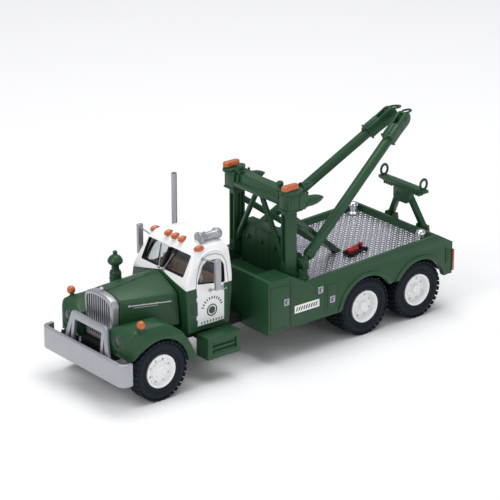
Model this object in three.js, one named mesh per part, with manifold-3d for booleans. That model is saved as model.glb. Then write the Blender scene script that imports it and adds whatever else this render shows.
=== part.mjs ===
// Toy tow truck, HO scale (1:87): conventional-hood tractor with a twin-boom wrecker body.
// Millimetres, +Z up. The bumper faces -Y, the truck's left side is +X, and the origin lies on
// the ground under the middle of the truck's outline.
import * as THREE from 'three';
import { ConvexGeometry } from 'three/addons/geometries/ConvexGeometry.js';
import { mergeVertices } from 'three/addons/utils/BufferGeometryUtils.js';
import Module from 'manifold-3d';

const wasm = await Module();
wasm.setup();

// ---------------------------------------------------------------- driving dimensions
const GAP = 0.05;                    // clearance between pieces that bear on each other
const RUNNING = 0.05;                // radial clearance of pins and axles

const FRONT_AXLE_Y = -34.3;
const REAR_AXLE_Y = [19.9, 34.9];
const TYRE_R = 6.4;                  // also the height of every axle
const TYRE_BORE_R = 3.6;
const WHEEL_OUT = 13.2;              // outer side of every tyre
const SINGLE_WIDTH = 3.2;
const DUAL_WIDTH = 6.7;
const AXLE_R = 0.55;

const FRAME_HALF = 4.4;              // outside of the frame rails
const RAIL_THICK = 1.2;
const FRAME_TOP = 9.0;
const FRAME_BOTTOM = 7.2;
const PAN_THICK = 0.7;               // plate that ties the two rails
const HANGER_FOOT = 2.6;             // half length of an axle hanger at the rail
const HANGER_TIP = 1.2;              // half length of an axle hanger below its axle

const BUMPER_FRONT = -44.8;
const BUMPER_BOTTOM = 5.65;
const BUMPER_TOP = 10.6;
const BUMPER_HALF = 14.05;
const BUMPER_DEPTH = 2.8;            // front face to the ends of the wrapped corners

const GUARD_FOOT = 8.0;              // lower edge of the push guard
const GUARD_TOP = 15.9;
const GUARD_MOUTH = [4.6, 14.3];     // half width and top of its opening
const GUARD_LEAN = 7;                // degrees, towards the radiator
const GUARD_Y = -43.3;
const GUARD_THICK = 0.7;

const GRILLE_FRONT = -40.3;
const GRILLE_BARS = 10;
const GRILLE_PITCH = 0.72;

const HOOD_FRONT = -38.3;
const HOOD_REAR = -25.25;
const HOOD_BOTTOM = 12.4;
const HOOD_WALL = 0.8;
const FENDER_X = [4.6, 13.4];
const FENDER_WELL_R = 6.85;
const LAMP_CENTRE = [8.6, -42.5, 13.4];
const SIGNAL = { x: 12.0, y: -38.3, foot: 15.4, z: 17.2, r: 0.85 };

const CAB_BOTTOM = 10.5;
const CAB_WALL = 0.8;
const GLASS_THICK = 0.4;
const SEAT_HALF = 7.6;               // half width of bench and dashboard
const SEAT_BASE = CAB_BOTTOM + 0.5;
const STEERING = { x: 3.8, y: -20.2, z: 19.2, r: 1.5, lean: 53 };
const MARKER_X = [-7.3, -2.3, 0, 2.3, 7.3];
const MARKER_Y = -20.1;
const HORN = { x: 5.7, y: -19.2, z: 29.15 };
const MIRROR_X = [12.8, 13.5];
const MIRROR_Z = [20.4, 27.0];
const MIRROR_ARM_R = 0.22;

const BODY_FRONT = -7.1;             // bulkhead behind the cab
const BODY_TAIL = 44.4;
const BODY_HALF = 13.6;              // outside of the side walls
const FLANGE_HALF = 13.9;            // outside of the wheel-arch flanges
const BODY_WALL = 0.9;
const BODY_BOTTOM = 7.2;
const ARCH_R = 7.2;
const FLANGE_R = 8.1;
const ARCH_MID_Y = (REAR_AXLE_Y[0] + REAR_AXLE_Y[1]) / 2;  // where the two arches meet
const ARCH_MID_HALF = 1.45;
const ARCH_MID_Z = 10.32;            // lower edge of the wall there
const TAIL_BOTTOM = 8.2;
const APRON_EDGE = [40.1, 15.5];     // top of the sloping tail apron, and its lower edge's height
const FLOOR_THICK = 0.8;
const DECK_TOP = 15.4;               // level front part of the deck
const DECK_PLATE = 0.45;
const DECK_RISE_Y = 9;               // from here the deck climbs to the tail
const DECK_SLOPE = 0.0362;
const DECK_TILT = 2.07;              // the same climb in degrees
const BOX_TOP = 18.75;               // tool-box lids either side of the mast
const BOX_INNER = 8.1;
const BOX_EDGE = -1.1;               // where the lid starts to slope down
const BOX_REAR = 3.1;
const RAIL_FRONT_Z = 16.4;
const RAIL_REAR_Z = 18.0;
const SILL_Y = 39.4;                 // front of the sloping tail apron

const POST_X = [7.75, 9.45];
const POST_Y = [0.9, 3.9];
const HEAD_BOTTOM = 31.2;
const BEAM_Z = [32.3, 35.2];
const BOLLARD_AT = [11.1, 37.2];
const JACK_AT = [6.4, 22.6];
const JACK_TURN = 8;                 // degrees about +Z
const BRACE = { top: [0.55, 1.35, 33.0], foot: [8.6, 1.75, 19.0], wide: 0.75, tall: 1.0 };
const STAY = { top: [8.75, 3.2, 29.1], foot: [2.3, 21.6, 15.0], wide: 1.5, tall: 1.2 };
const WINCH_HALF = 6.5;
const DRUM = { x: 3.3, y: 7.3, z: 17.8, r: 1.6, half: 2.2 };
const PLATFORM = { x: 9.4, y: 2.2, z: 35.5, rx: 1.6, ry: 2.9, thick: 0.7 };
const FLOOD = { x: 9.65, y: 5.6, z: 32.4, r: 1.2, length: 5.4 };
const KNOB = { x: 6.6, y: 1.6, z: 36.5, r: 0.75 };
const BEACON = { x: 9.7, y: 1.7, r: 0.78, reach: 1.3, bottom: 35.9, top: 37.1 };

const BOOM_FOOT = [9.5, 5.4, 18.8];  // tilt pin of the left boom
const BOOM_LEAN = [-0.2152, 1, 0.671];  // direction of the left boom, pointing to its head
const BOOM_R = 1.12;
const BOOM_LENGTH = 41.6;            // tilt pin to sheave
const PIN_R = 0.35;
const FORK_X = 0.78;                 // middle of each ear of fork and boom head
const EYE_HALF = 0.47;               // half width of the boom's hinge eye
const SLEEVE = [BOOM_LENGTH - 6.2, BOOM_LENGTH - 2.6];

const TOW_PIN_Y = 43.4;              // hinge of the folding tow bar
const TOW_PIN_Z = 16.75;
const TOW_LEAN = 1.3;                // how far the upright tow bar's head leans forwards
const TOW_FOOT_X = 5.3;
const TOW_BAR_Z = 25.2;
const TOW_BAR_HALF = 7.3;
const TOW_EYE_X = 6.4;
const TOW_YOKE = [21.4, 22.2, 2.6];  // bottom, shoulder height and half width

const COLOURS = {
  green: [0x1f4a2e, 0.45, 0.0],
  darkGreen: [0x18371f, 0.5, 0.0],
  white: [0xf0f1ee, 0.4, 0.0],
  silver: [0xb4b6ba, 0.4, 0.6],
  chrome: [0xd8dadd, 0.15, 1.0],
  orange: [0xe8622a, 0.35, 0.0],
  red: [0xc02024, 0.4, 0.0],
  black: [0x1c1e22, 0.8, 0.0],
  steel: [0x8f9296, 0.3, 1.0],
  plate: [0xb9bac6, 0.35, 0.6],
  tan: [0x8a6f5c, 0.7, 0.0],
  glass: [0xaab4b8, 0.05, 0.0],
};

// ---------------------------------------------------------------- solids
const AXIS = {
  x: new THREE.Vector3(1, 0, 0),
  y: new THREE.Vector3(0, 1, 0),
  z: new THREE.Vector3(0, 0, 1),
};

// A closed geometry as a solid that can be joined or cut.
function solid(geometry) {
  const bare = geometry.clone();
  deleteIfPresent(bare, 'normal');
  deleteIfPresent(bare, 'uv');
  const merged = mergeVertices(bare, 1e-4);
  return new wasm.Manifold(new wasm.Mesh({
    numProp: 3,
    vertProperties: new Float32Array(merged.attributes.position.array),
    triVerts: new Uint32Array(merged.index.array),
  }));
}

function deleteIfPresent(geometry, name) {
  if (geometry.attributes[name]) geometry.deleteAttribute(name);
}

// A solid back as a geometry.
function geometryOf(manifold) {
  const mesh = manifold.getMesh();
  const geometry = new THREE.BufferGeometry();
  geometry.setAttribute('position', new THREE.BufferAttribute(new Float32Array(mesh.vertProperties), 3));
  geometry.setIndex(new THREE.BufferAttribute(new Uint32Array(mesh.triVerts), 1));
  geometry.computeVertexNormals();
  return geometry;
}

const join = (...parts) => parts.reduce((sum, part) => sum.add(part));
const cut = (body, ...tools) => tools.reduce((rest, tool) => rest.subtract(tool), body);

function block([x0, x1], [y0, y1], [z0, z1]) {
  const geometry = new THREE.BoxGeometry(x1 - x0, y1 - y0, z1 - z0);
  geometry.translate((x0 + x1) / 2, (y0 + y1) / 2, (z0 + z1) / 2);
  return solid(geometry);
}

const outline = (points) => new THREE.Shape(points.map(([a, b]) => new THREE.Vector2(a, b)));

// An outline of (y, z) points, drawn out from x0 to x1.
function prismX(points, x0, x1) {
  const geometry = new THREE.ExtrudeGeometry(outline(points), { depth: x1 - x0, bevelEnabled: false });
  geometry.applyMatrix4(new THREE.Matrix4().makeBasis(AXIS.y, AXIS.z, AXIS.x));
  geometry.translate(x0, 0, 0);
  return solid(geometry);
}

// An outline of (x, z) points, drawn out from y0 to y1.
function prismY(points, y0, y1) {
  const geometry = new THREE.ExtrudeGeometry(outline(points), { depth: y1 - y0, bevelEnabled: false });
  geometry.applyMatrix4(new THREE.Matrix4().makeBasis(AXIS.x, AXIS.z, AXIS.y.clone().negate()));
  geometry.translate(0, y1, 0);
  return solid(geometry);
}

// An outline of (x, y) points, drawn out from z0 to z1.
function prismZ(points, z0, z1) {
  const geometry = new THREE.ExtrudeGeometry(outline(points), { depth: z1 - z0, bevelEnabled: false });
  geometry.translate(0, 0, z0);
  return solid(geometry);
}

// A round bar between two points.
function rod(from, to, radius, segments = 14) {
  const start = new THREE.Vector3(...from);
  const end = new THREE.Vector3(...to);
  const along = end.clone().sub(start);
  const geometry = new THREE.CylinderGeometry(radius, radius, along.length(), segments);
  const turn = new THREE.Quaternion().setFromUnitVectors(AXIS.y, along.clone().normalize());
  geometry.applyQuaternion(turn);
  geometry.translate(...start.add(end).multiplyScalar(0.5).toArray());
  return solid(geometry);
}

// A rectangular bar between two points: wide across, tall upwards.
function bar(from, to, wide, tall) {
  const start = new THREE.Vector3(...from);
  const end = new THREE.Vector3(...to);
  const along = end.clone().sub(start);
  const forward = along.clone().normalize();
  const side = new THREE.Vector3().crossVectors(forward, AXIS.z).normalize();
  const up = new THREE.Vector3().crossVectors(side, forward);
  const geometry = new THREE.BoxGeometry(wide, along.length(), tall);
  geometry.applyMatrix4(new THREE.Matrix4().makeBasis(side, forward, up));
  geometry.translate(...start.add(end).multiplyScalar(0.5).toArray());
  return solid(geometry);
}

// A turned piece: (radius, height) points about +Z, or about another axis.
function turned(profile, segments, axis = AXIS.z) {
  const geometry = new THREE.LatheGeometry(profile.map(([r, h]) => new THREE.Vector2(r, h)), segments);
  geometry.applyQuaternion(new THREE.Quaternion().setFromUnitVectors(AXIS.y, axis));
  return solid(geometry);
}

function ball(centre, radii, segments = 16) {
  const geometry = new THREE.SphereGeometry(1, segments, segments / 2);
  geometry.scale(...radii);
  geometry.translate(...centre);
  return solid(geometry);
}

const hull = (points) => solid(new ConvexGeometry(points.map((p) => new THREE.Vector3(...p))));

// The same points on both sides of the truck.
const mirrored = (points) => points.flatMap(([x, y, z]) => [[x, y, z], [-x, y, z]]);

const arc = (cy, cz, r, from, to, steps) => Array.from({ length: steps + 1 }, (_, i) => {
  const angle = THREE.MathUtils.degToRad(from + (to - from) * i / steps);
  return [cy + r * Math.cos(angle), cz + r * Math.sin(angle)];
});

// The mirror image on the right side of a solid made on the left side.
const onRight = (part) => part.mirror([1, 0, 0]);

// ---------------------------------------------------------------- frame and running gear
const RAILS_X = [[-FRAME_HALF, RAIL_THICK - FRAME_HALF], [FRAME_HALF - RAIL_THICK, FRAME_HALF]];
const AXLES_Y = [FRONT_AXLE_Y, ...REAR_AXLE_Y];

// Hangers that carry one axle, one under each rail.
function axleHangers(y) {
  const side = [[y - HANGER_FOOT, FRAME_BOTTOM + 0.2], [y - HANGER_TIP, TYRE_R - HANGER_TIP],
    [y + HANGER_TIP, TYRE_R - HANGER_TIP], [y + HANGER_FOOT, FRAME_BOTTOM + 0.2]];
  return RAILS_X.map(([low, high]) => prismX(side, low, high));
}

function chassisFrame() {
  const length = [BUMPER_FRONT + 1.1, BODY_TAIL - 1.2];
  const rails = RAILS_X.map((x) => block(x, length, [FRAME_BOTTOM, FRAME_TOP]));
  const pan = block([-FRAME_HALF, FRAME_HALF], length, [FRAME_TOP - PAN_THICK, FRAME_TOP]);
  const hangers = AXLES_Y.flatMap(axleHangers);
  const axleHoles = AXLES_Y.map((y) => rod([-6, y, TYRE_R], [6, y, TYRE_R], AXLE_R + RUNNING, 16));
  const noseMember = block([-FRAME_HALF, FRAME_HALF], [-41.6, HOOD_FRONT], [FRAME_TOP - 0.1, 10.45]);
  const engine = block([-3.4, 3.4], [-37.6, -26.4], [FRAME_TOP - 0.1, 12.0]);
  const cabMount = block([-6.0, 6.0], [-23.6, -15.2], [FRAME_TOP - 0.1, CAB_BOTTOM - GAP]);
  const stepHangers = block([-8.95, 8.95], [-19.8, -16.2], [FRAME_BOTTOM + 0.1, FRAME_TOP - 0.3]);
  const stackShelf = block([-11.3, -FRAME_HALF + 0.2], [-13.7, -12.5], [7.6, FRAME_TOP - 0.3]);
  const whole = join(...rails, pan, ...hangers, noseMember, engine, cabMount, stepHangers, stackShelf);
  return cut(whole, ...axleHoles);
}

// Axle rod, across the truck at one axle.
const axleRod = (y, half) => rod([-half, y, TYRE_R], [half, y, TYRE_R], AXLE_R, 16);

// A rubber tyre with rounded shoulders; a dual has a groove between its two treads.
function tyre(width, dual) {
  const half = width / 2;
  const crown = (from, to) => [
    [TYRE_R - 0.9, from], [TYRE_R, from + 0.4], [TYRE_R, to - 0.4], [TYRE_R - 0.9, to],
  ];
  const tread = dual ? [...crown(-half, -0.25), ...crown(0.25, half)] : crown(-half, half);
  const bore = [[TYRE_BORE_R, half - 0.5], [TYRE_BORE_R, -half + 0.5]];
  const profile = [bore[1], ...tread, ...bore];
  return turned(profile, 24, AXIS.x);
}

// A dished wheel with its hub, the dish on the +X side.
function wheel(width) {
  const half = width / 2;
  const rim = TYRE_BORE_R - GAP;
  const bore = AXLE_R + GAP;
  const profile = [
    [bore, -half + 0.6], [rim, -half + 0.6], [rim, half - 0.1], [rim - 0.55, half - 0.1],
    [rim - 0.9, half - 0.8], [1.7, half - 1.0], [1.45, half - 0.35], [0.9, half - 0.1],
    [bore, half - 0.1], [bore, -half + 0.6],
  ];
  return turned(profile, 16, AXIS.x);
}

// ---------------------------------------------------------------- front end
function bumper() {
  const inner = BUMPER_HALF - 0.9;
  const half = [[BUMPER_HALF - 1.35, BUMPER_FRONT], [BUMPER_HALF - 0.5, BUMPER_FRONT + 0.35],
    [BUMPER_HALF, BUMPER_FRONT + 1.1], [BUMPER_HALF, BUMPER_FRONT + BUMPER_DEPTH],
    [inner, BUMPER_FRONT + BUMPER_DEPTH], [inner, BUMPER_FRONT + 1.3], [inner - 0.75, BUMPER_FRONT + 0.85]];
  const otherHalf = half.map(([x, y]) => [-x, y]).reverse();
  return prismZ([...half, ...otherHalf], BUMPER_BOTTOM, BUMPER_TOP);
}

// Inverted-U guard plate with split legs, leaning back a little behind the bumper.
function pushGuard() {
  const [mouthHalf, mouthTop] = GUARD_MOUTH;
  const slotFoot = GUARD_FOOT + 0.9;
  const slot = (side) => prismY([[side * 5.4, slotFoot], [side * 6.7, slotFoot], [side * 5.5, mouthTop - 1.1]]
    .sort((a, b) => (a[0] - b[0])), -1, 1);
  const plate = prismY([[-8.1, GUARD_FOOT], [-6.0, GUARD_TOP - 0.5], [-5.5, GUARD_TOP], [5.5, GUARD_TOP],
    [6.0, GUARD_TOP - 0.5], [8.1, GUARD_FOOT]], -GUARD_THICK / 2, GUARD_THICK / 2);
  const mouth = block([-mouthHalf, mouthHalf], [-1, 1], [GUARD_FOOT - 1, mouthTop]);
  const guard = cut(plate, mouth, slot(1), slot(-1));
  return guard.translate([0, 0, -GUARD_FOOT]).rotate([-GUARD_LEAN, 0, 0]).translate([0, GUARD_Y, GUARD_FOOT]);
}

// Radiator shell with its grille bars and filler cap.
function radiator() {
  const front = GRILLE_FRONT;
  const shellLine = (grow, base) => [
    [-4.55 - grow, base], [-4.85 - grow, 19.0 + grow], [-4.3 - grow, 20.1 + grow], [-2.6, 20.75 + grow],
    [0, 21.0 + grow], [2.6, 20.75 + grow], [4.3 + grow, 20.1 + grow], [4.85 + grow, 19.0 + grow],
    [4.55 + grow, base]];
  const shell = prismY(shellLine(0, 10.5), front, HOOD_FRONT - GAP);
  const core = prismY(shellLine(-0.95, 11.6), front - 0.5, front + 0.9);
  const bars = Array.from({ length: GRILLE_BARS }, (_, i) => {
    const x = (i - (GRILLE_BARS - 1) / 2) * GRILLE_PITCH;
    return block([x - 0.15, x + 0.15], [front + 0.25, front + 1.0], [11.0, 20.2 - 0.02 * x * x * x * x]);
  });
  const cap = rod([0, front + 0.8, 20.8], [0, front + 0.8, 21.6], 0.45, 16);
  return join(cut(shell, core), ...bars.map((one) => one.intersect(shell)), cap);
}

const hoodForm = (grow, bottom) => hull(mirrored([
  [0, HOOD_FRONT, 20.85 + grow], [1.3, HOOD_FRONT, 20.75 + grow], [3.9, HOOD_FRONT, 20.3 + grow],
  [4.8 + grow, HOOD_FRONT, 19.6 + grow], [4.9 + grow, HOOD_FRONT, bottom],
  [0, HOOD_REAR, 22.0 + grow], [1.6, HOOD_REAR, 21.75 + grow], [5.6 + grow, HOOD_REAR, 19.9 + grow],
  [7.0 + grow, HOOD_REAR, 18.9 + grow], [7.6 + grow, HOOD_REAR, bottom]]));

function hood() {
  const hollow = hoodForm(-HOOD_WALL, HOOD_BOTTOM - 1.4).translate([0, 0.6, 0]);
  return cut(hoodForm(0, HOOD_BOTTOM), hollow);
}

// Left front fender with its wheel arch, lamp pocket and turn signal.
function frontFender() {
  const side = [
    [-40.3, 9.7], [-41.5, 9.7], [-42.1, 11.4], [-42.15, 13.2], [-41.5, 14.8], [-40.2, 15.9], [-38.2, 16.5],
    [-35.8, 16.6], [-33.2, 16.3], [-30.9, 15.3], [-29.0, 13.8], [-27.3, 11.6], [-26.0, 9.0], [-25.2, 6.7],
    [-27.6, 6.7]].reverse();
  const front = [[4.6, 9.0], [13.2, 5.0], [13.4, 13.6], [13.0, 15.0], [12.0, 16.1], [10.6, 16.6],
    [9.0, 16.45], [6.8, 15.6], [4.6, 14.9]];
  const plan = [[4, -24], [4, -43], [8.8, -42.2], [10.4, -41.9], [11.7, -41.1], [12.7, -39.9], [13.2, -38.4],
    [13.4, -36.4], [13.4, -24]];
  const pontoon = prismX(side, ...FENDER_X).intersect(prismY(front, -43, -24)).intersect(prismZ(plan, 0, 20));
  const well = rod([6.0, FRONT_AXLE_Y, TYRE_R], [15, FRONT_AXLE_Y, TYRE_R], FENDER_WELL_R, 36);
  const hoodSpace = hoodForm(2 * GAP, HOOD_BOTTOM - GAP);
  const radiatorSpace = block([-5, 4.95], [-44, HOOD_FRONT + 0.1], [5, 25]);
  const pocket = ball(LAMP_CENTRE, [1.2, 0.9, 1.9]);
  const lamp = join(rod([SIGNAL.x, SIGNAL.y, SIGNAL.foot], [SIGNAL.x, SIGNAL.y, SIGNAL.z - 0.2], 0.35, 8),
    ball([SIGNAL.x, SIGNAL.y - 0.2, SIGNAL.z], [SIGNAL.r, SIGNAL.r, SIGNAL.r], 12));
  return join(cut(pontoon, well, hoodSpace, radiatorSpace, pocket), lamp);
}

// Oil-bath air cleaner on the right of the hood.
const CLEANER = { x: -8.25, y: -29.9, r: 1.25, foot: 14.2 };
function airCleaner() {
  const profile = [[0, CLEANER.foot], [CLEANER.r, CLEANER.foot], [CLEANER.r, 20.6], [0.8, 21.2], [0.8, 21.9],
    [1.3, 22.1], [1.6, 22.5], [1.6, 22.95], [1.2, 23.5], [0.55, 23.9], [0.45, 24.3], [0.3, 24.8], [0, 24.95]];
  return turned(profile, 20).translate([CLEANER.x, CLEANER.y, 0]);
}

// ---------------------------------------------------------------- cab
// Outside form of the cab; a positive inset draws every face in.
function cabForm(inset, bottom) {
  const section = (z, rows) => rows.map(([x, y]) => [
    Math.max(x - inset, 0), y + (y < -18.5 ? inset : -inset), z]);
  return hull(mirrored([
    ...section(bottom, [[9.3, -24.6], [9.3, -13.9]]),
    ...section(17.8, [[9.4, -25.0], [9.4, -13.2]]),
    ...section(20.8 - inset / 2, [[9.0, -24.8], [9.0, -12.9]]),
    ...section(22.0 - inset / 2, [[7.7, -24.25], [8.8, -23.2], [8.8, -12.85]]),
    ...section(26.4 - inset, [[7.6, -22.0], [8.15, -20.9], [8.0, -12.95]]),
    ...section(27.7 - inset, [[7.5, -20.9], [7.2, -13.5]]),
    ...section(28.4 - inset, [[5.6, -20.2], [5.4, -14.4]]),
    ...section(29.0 - inset, [[2.8, -18.9], [3.0, -15.6]]),
  ]));
}

function cabShell() {
  const windshield = [-1, 1].map((side) => hull([
    [side * 0.25, -27, 22.2], [side * 7.1, -27, 22.2], [side * 6.9, -27, 26.4], [side * 0.25, -27, 26.5],
    [side * 0.25, -19, 22.2], [side * 7.1, -19, 22.2], [side * 6.9, -19, 26.4], [side * 0.25, -19, 26.5]]));
  const doorWindow = prismX([[-22.0, 20.7], [-14.9, 19.6], [-14.7, 23.4], [-15.6, 24.7], [-18.9, 25.1],
    [-20.3, 24.2]].reverse(), -12, 12);
  const backWindow = block([-4.6, 4.6], [-15, -11], [21.6, 25.4]);
  const inside = cabForm(CAB_WALL, CAB_BOTTOM - 1);
  return cut(cabForm(0, CAB_BOTTOM), inside, ...windshield, doorWindow, backWindow);
}

// One clear insert behind every window.
function cabGlazing() {
  const outside = CAB_WALL + GAP;
  const skin = cut(cabForm(outside, CAB_BOTTOM - 1), cabForm(outside + GLASS_THICK, CAB_BOTTOM - 2));
  return skin.intersect(block([-12, 12], [-30, -10], [19.2, 27.2]));
}

// Floor, bench seat, dashboard and steering wheel in one moulding.
function cabInterior() {
  const floor = block([-8.2, 8.2], [-23.6, -14.9], [CAB_BOTTOM + 0.1, CAB_BOTTOM + 0.9]);
  const width = [-SEAT_HALF, SEAT_HALF];
  const bench = block(width, [-18.6, -15.0], [SEAT_BASE, 15.6]);
  const backrest = block(width, [-16.0, -14.9], [15.2, 20.6]);
  const dash = block(width, [-23.6, -22.2], [SEAT_BASE, 19.0]);
  const hub = [STEERING.x, STEERING.y, STEERING.z];
  const column = rod([STEERING.x, STEERING.y - 2.4, STEERING.z - 1.8], hub, 0.3, 10);
  const ring = new THREE.TorusGeometry(STEERING.r, 0.22, 6, 16);
  const disc = solid(new THREE.CylinderGeometry(STEERING.r, STEERING.r, 0.18, 16).rotateX(Math.PI / 2));
  const steering = join(solid(ring), disc).rotate([STEERING.lean, 0, 0]).translate(hub);
  return join(floor, bench, backrest, dash, column, steering);
}

// A teardrop roof lamp, seated on the roof.
function roofMarker(x) {
  const onEdge = Math.abs(x) > 5;
  const lamp = ball([x, MARKER_Y, onEdge ? 27.75 : 28.5], [0.8, 1.5, 0.75], 12);
  return cut(lamp, cabForm(-GAP, CAB_BOTTOM));
}

// Trumpet on the left of the roof, mouth forwards.
function airHorn() {
  const profile = [[0, 0], [1.25, 0], [1.3, 0.4], [1.1, 0.9], [0.85, 1.6], [0.85, 4.3], [1.1, 4.6],
    [1.1, 5.5], [0.7, 5.9], [0, 6.0]];
  const trumpet = turned(profile, 20, AXIS.y).translate([HORN.x, HORN.y, HORN.z]);
  const feet = [1.8, 4.6].map((back) => block(
    [HORN.x - 0.35, HORN.x + 0.35], [HORN.y + back - 0.3, HORN.y + back + 0.3], [27.0, HORN.z + 0.25]));
  return cut(join(trumpet, ...feet), cabForm(-GAP, CAB_BOTTOM));
}

// Left door mirror on its two arms.
function mirror() {
  const head = block(MIRROR_X, [-20.6, -19.3], MIRROR_Z);
  const upper = [13.05, -20.15, MIRROR_Z[1] - 0.7];
  const lower = [13.05, -20.15, MIRROR_Z[0] + 0.4];
  const arms = [rod([8.45, -20.0, 25.6], upper, MIRROR_ARM_R, 10),
    rod([9.45, -19.0, 18.9], lower, MIRROR_ARM_R, 10),
    rod([9.45, -15.8, 18.9], lower, MIRROR_ARM_R, 10)];
  return cut(join(head, ...arms), cabForm(-GAP, CAB_BOTTOM));
}

// Left step box under the door, with a recessed panel and two ribs.
function stepBox() {
  const box = block([9.0, 13.0], [-22.4, -13.75], [5.3, 10.2]);
  const recess = block([12.4, 14], [-20.9, -14.9], [6.2, 9.3]);
  const ribs = [7.1, 8.2].map((z) => block([12.3, 12.85], [-20.6, -15.2], [z - 0.16, z + 0.16]));
  return join(cut(box, recess), ...ribs);
}

const STACK = { x: -10.35, y: -12.95, r: 0.82, top: 37.4 };
const exhaustStack = () => rod(
  [STACK.x, STACK.y, FRAME_TOP - 0.25], [STACK.x, STACK.y, STACK.top], STACK.r, 20);

// ---------------------------------------------------------------- wrecker body
// Lower edge of a side wall: straight, two wheel arches, then the tail corner. Runs front to rear.
function archLine(radius) {
  const [first, second] = REAR_AXLE_Y;
  return [
    ...arc(first, TYRE_R, radius, 173, 33, 11),
    ...arc(second, TYRE_R, radius, 147, 15, 11),
  ];
}

function sideWall() {
  const outer = [
    [BODY_FRONT, BODY_BOTTOM], ...archLine(ARCH_R), [BODY_TAIL, TAIL_BOTTOM], [BODY_TAIL, APRON_EDGE[1]],
    [APRON_EDGE[0], RAIL_REAR_Z], [BOX_REAR, RAIL_FRONT_Z], [BOX_EDGE, BOX_TOP - 0.1], [BODY_FRONT, BOX_TOP]];
  return prismX(outer, BODY_HALF - BODY_WALL, BODY_HALF);
}

// Raised lip that follows both wheel arches.
function archFlange() {
  const band = join(...REAR_AXLE_Y.map((y) => rod(
    [BODY_HALF - 0.3, y, TYRE_R], [FLANGE_HALF, y, TYRE_R], FLANGE_R, 40)));
  const openings = join(...REAR_AXLE_Y.map((y) => rod([0, y, TYRE_R], [20, y, TYRE_R], ARCH_R, 40)));
  const frontEdge = BODY_BOTTOM + 0.1;
  const rearEdge = TAIL_BOTTOM + 0.1;
  const keep = join(block([0, 20], [BODY_FRONT, ARCH_MID_Y], [frontEdge, 20]),
    block([0, 20], [ARCH_MID_Y, 50], [rearEdge, 20]));
  const panel = prismX(
    [[BODY_FRONT, frontEdge], [BODY_TAIL, rearEdge], [BODY_TAIL, 30], [BODY_FRONT, 30]], 0, 20);
  const notch = block([0, 20], [ARCH_MID_Y - ARCH_MID_HALF, ARCH_MID_Y + ARCH_MID_HALF], [0, ARCH_MID_Z]);
  return cut(band.intersect(keep).intersect(panel), openings, notch);
}

// Tool box either side of the mast, open underneath; its lid slopes down to the rail.
function toolBox() {
  const side = [[BODY_FRONT + 0.3, DECK_TOP - 1.2], [BOX_REAR, DECK_TOP - 1.2], [BOX_REAR, RAIL_FRONT_Z],
    [BOX_EDGE, BOX_TOP - 0.1], [BODY_FRONT + 0.3, BOX_TOP]];
  return prismX(side, BOX_INNER, BODY_HALF - 0.2);
}

// Hollow of the left tool box.
function toolBoxSpace() {
  const front = BODY_FRONT + BODY_WALL;
  const roof = BOX_TOP - BODY_WALL;
  const rear = BOX_REAR - 0.8;
  const inner = [[front, 13], [rear, 13], [rear, RAIL_FRONT_Z - 0.5], [BOX_EDGE - 0.2, roof], [front, roof]];
  return prismX(inner, BOX_INNER + 0.8, BODY_HALF - BODY_WALL);
}

// Ears that carry one foot of the tow bar.
function towLugs(side) {
  const x = side * TOW_FOOT_X;
  const hole = rod([x - 3, TOW_PIN_Y, TOW_PIN_Z], [x + 3, TOW_PIN_Y, TOW_PIN_Z], PIN_R + RUNNING, 14);
  const ears = [x - side * 1.35, x + side * 0.95].map((at) => prismX([
    [TOW_PIN_Y - 1.2, 15.2], [TOW_PIN_Y - 0.75, TOW_PIN_Z + 0.5], [TOW_PIN_Y + 0.6, TOW_PIN_Z + 0.5],
    [TOW_PIN_Y + 0.9, 15.2]].reverse(), at - 0.25, at + 0.25));
  return join(...ears).subtract(hole);
}

// Deck level at a station along the truck.
const deckTopAt = (y) => DECK_TOP + Math.max(0, y - DECK_RISE_Y) * DECK_SLOPE;

// Side outline of a layer that follows the deck, given by its depths below the deck's face.
function deckLayer(front, rear, high, low) {
  return [[front, DECK_TOP - low], [DECK_RISE_Y, DECK_TOP - low], [rear, deckTopAt(rear) - low],
    [rear, deckTopAt(rear) - high], [DECK_RISE_Y, DECK_TOP - high], [front, DECK_TOP - high]];
}

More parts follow.
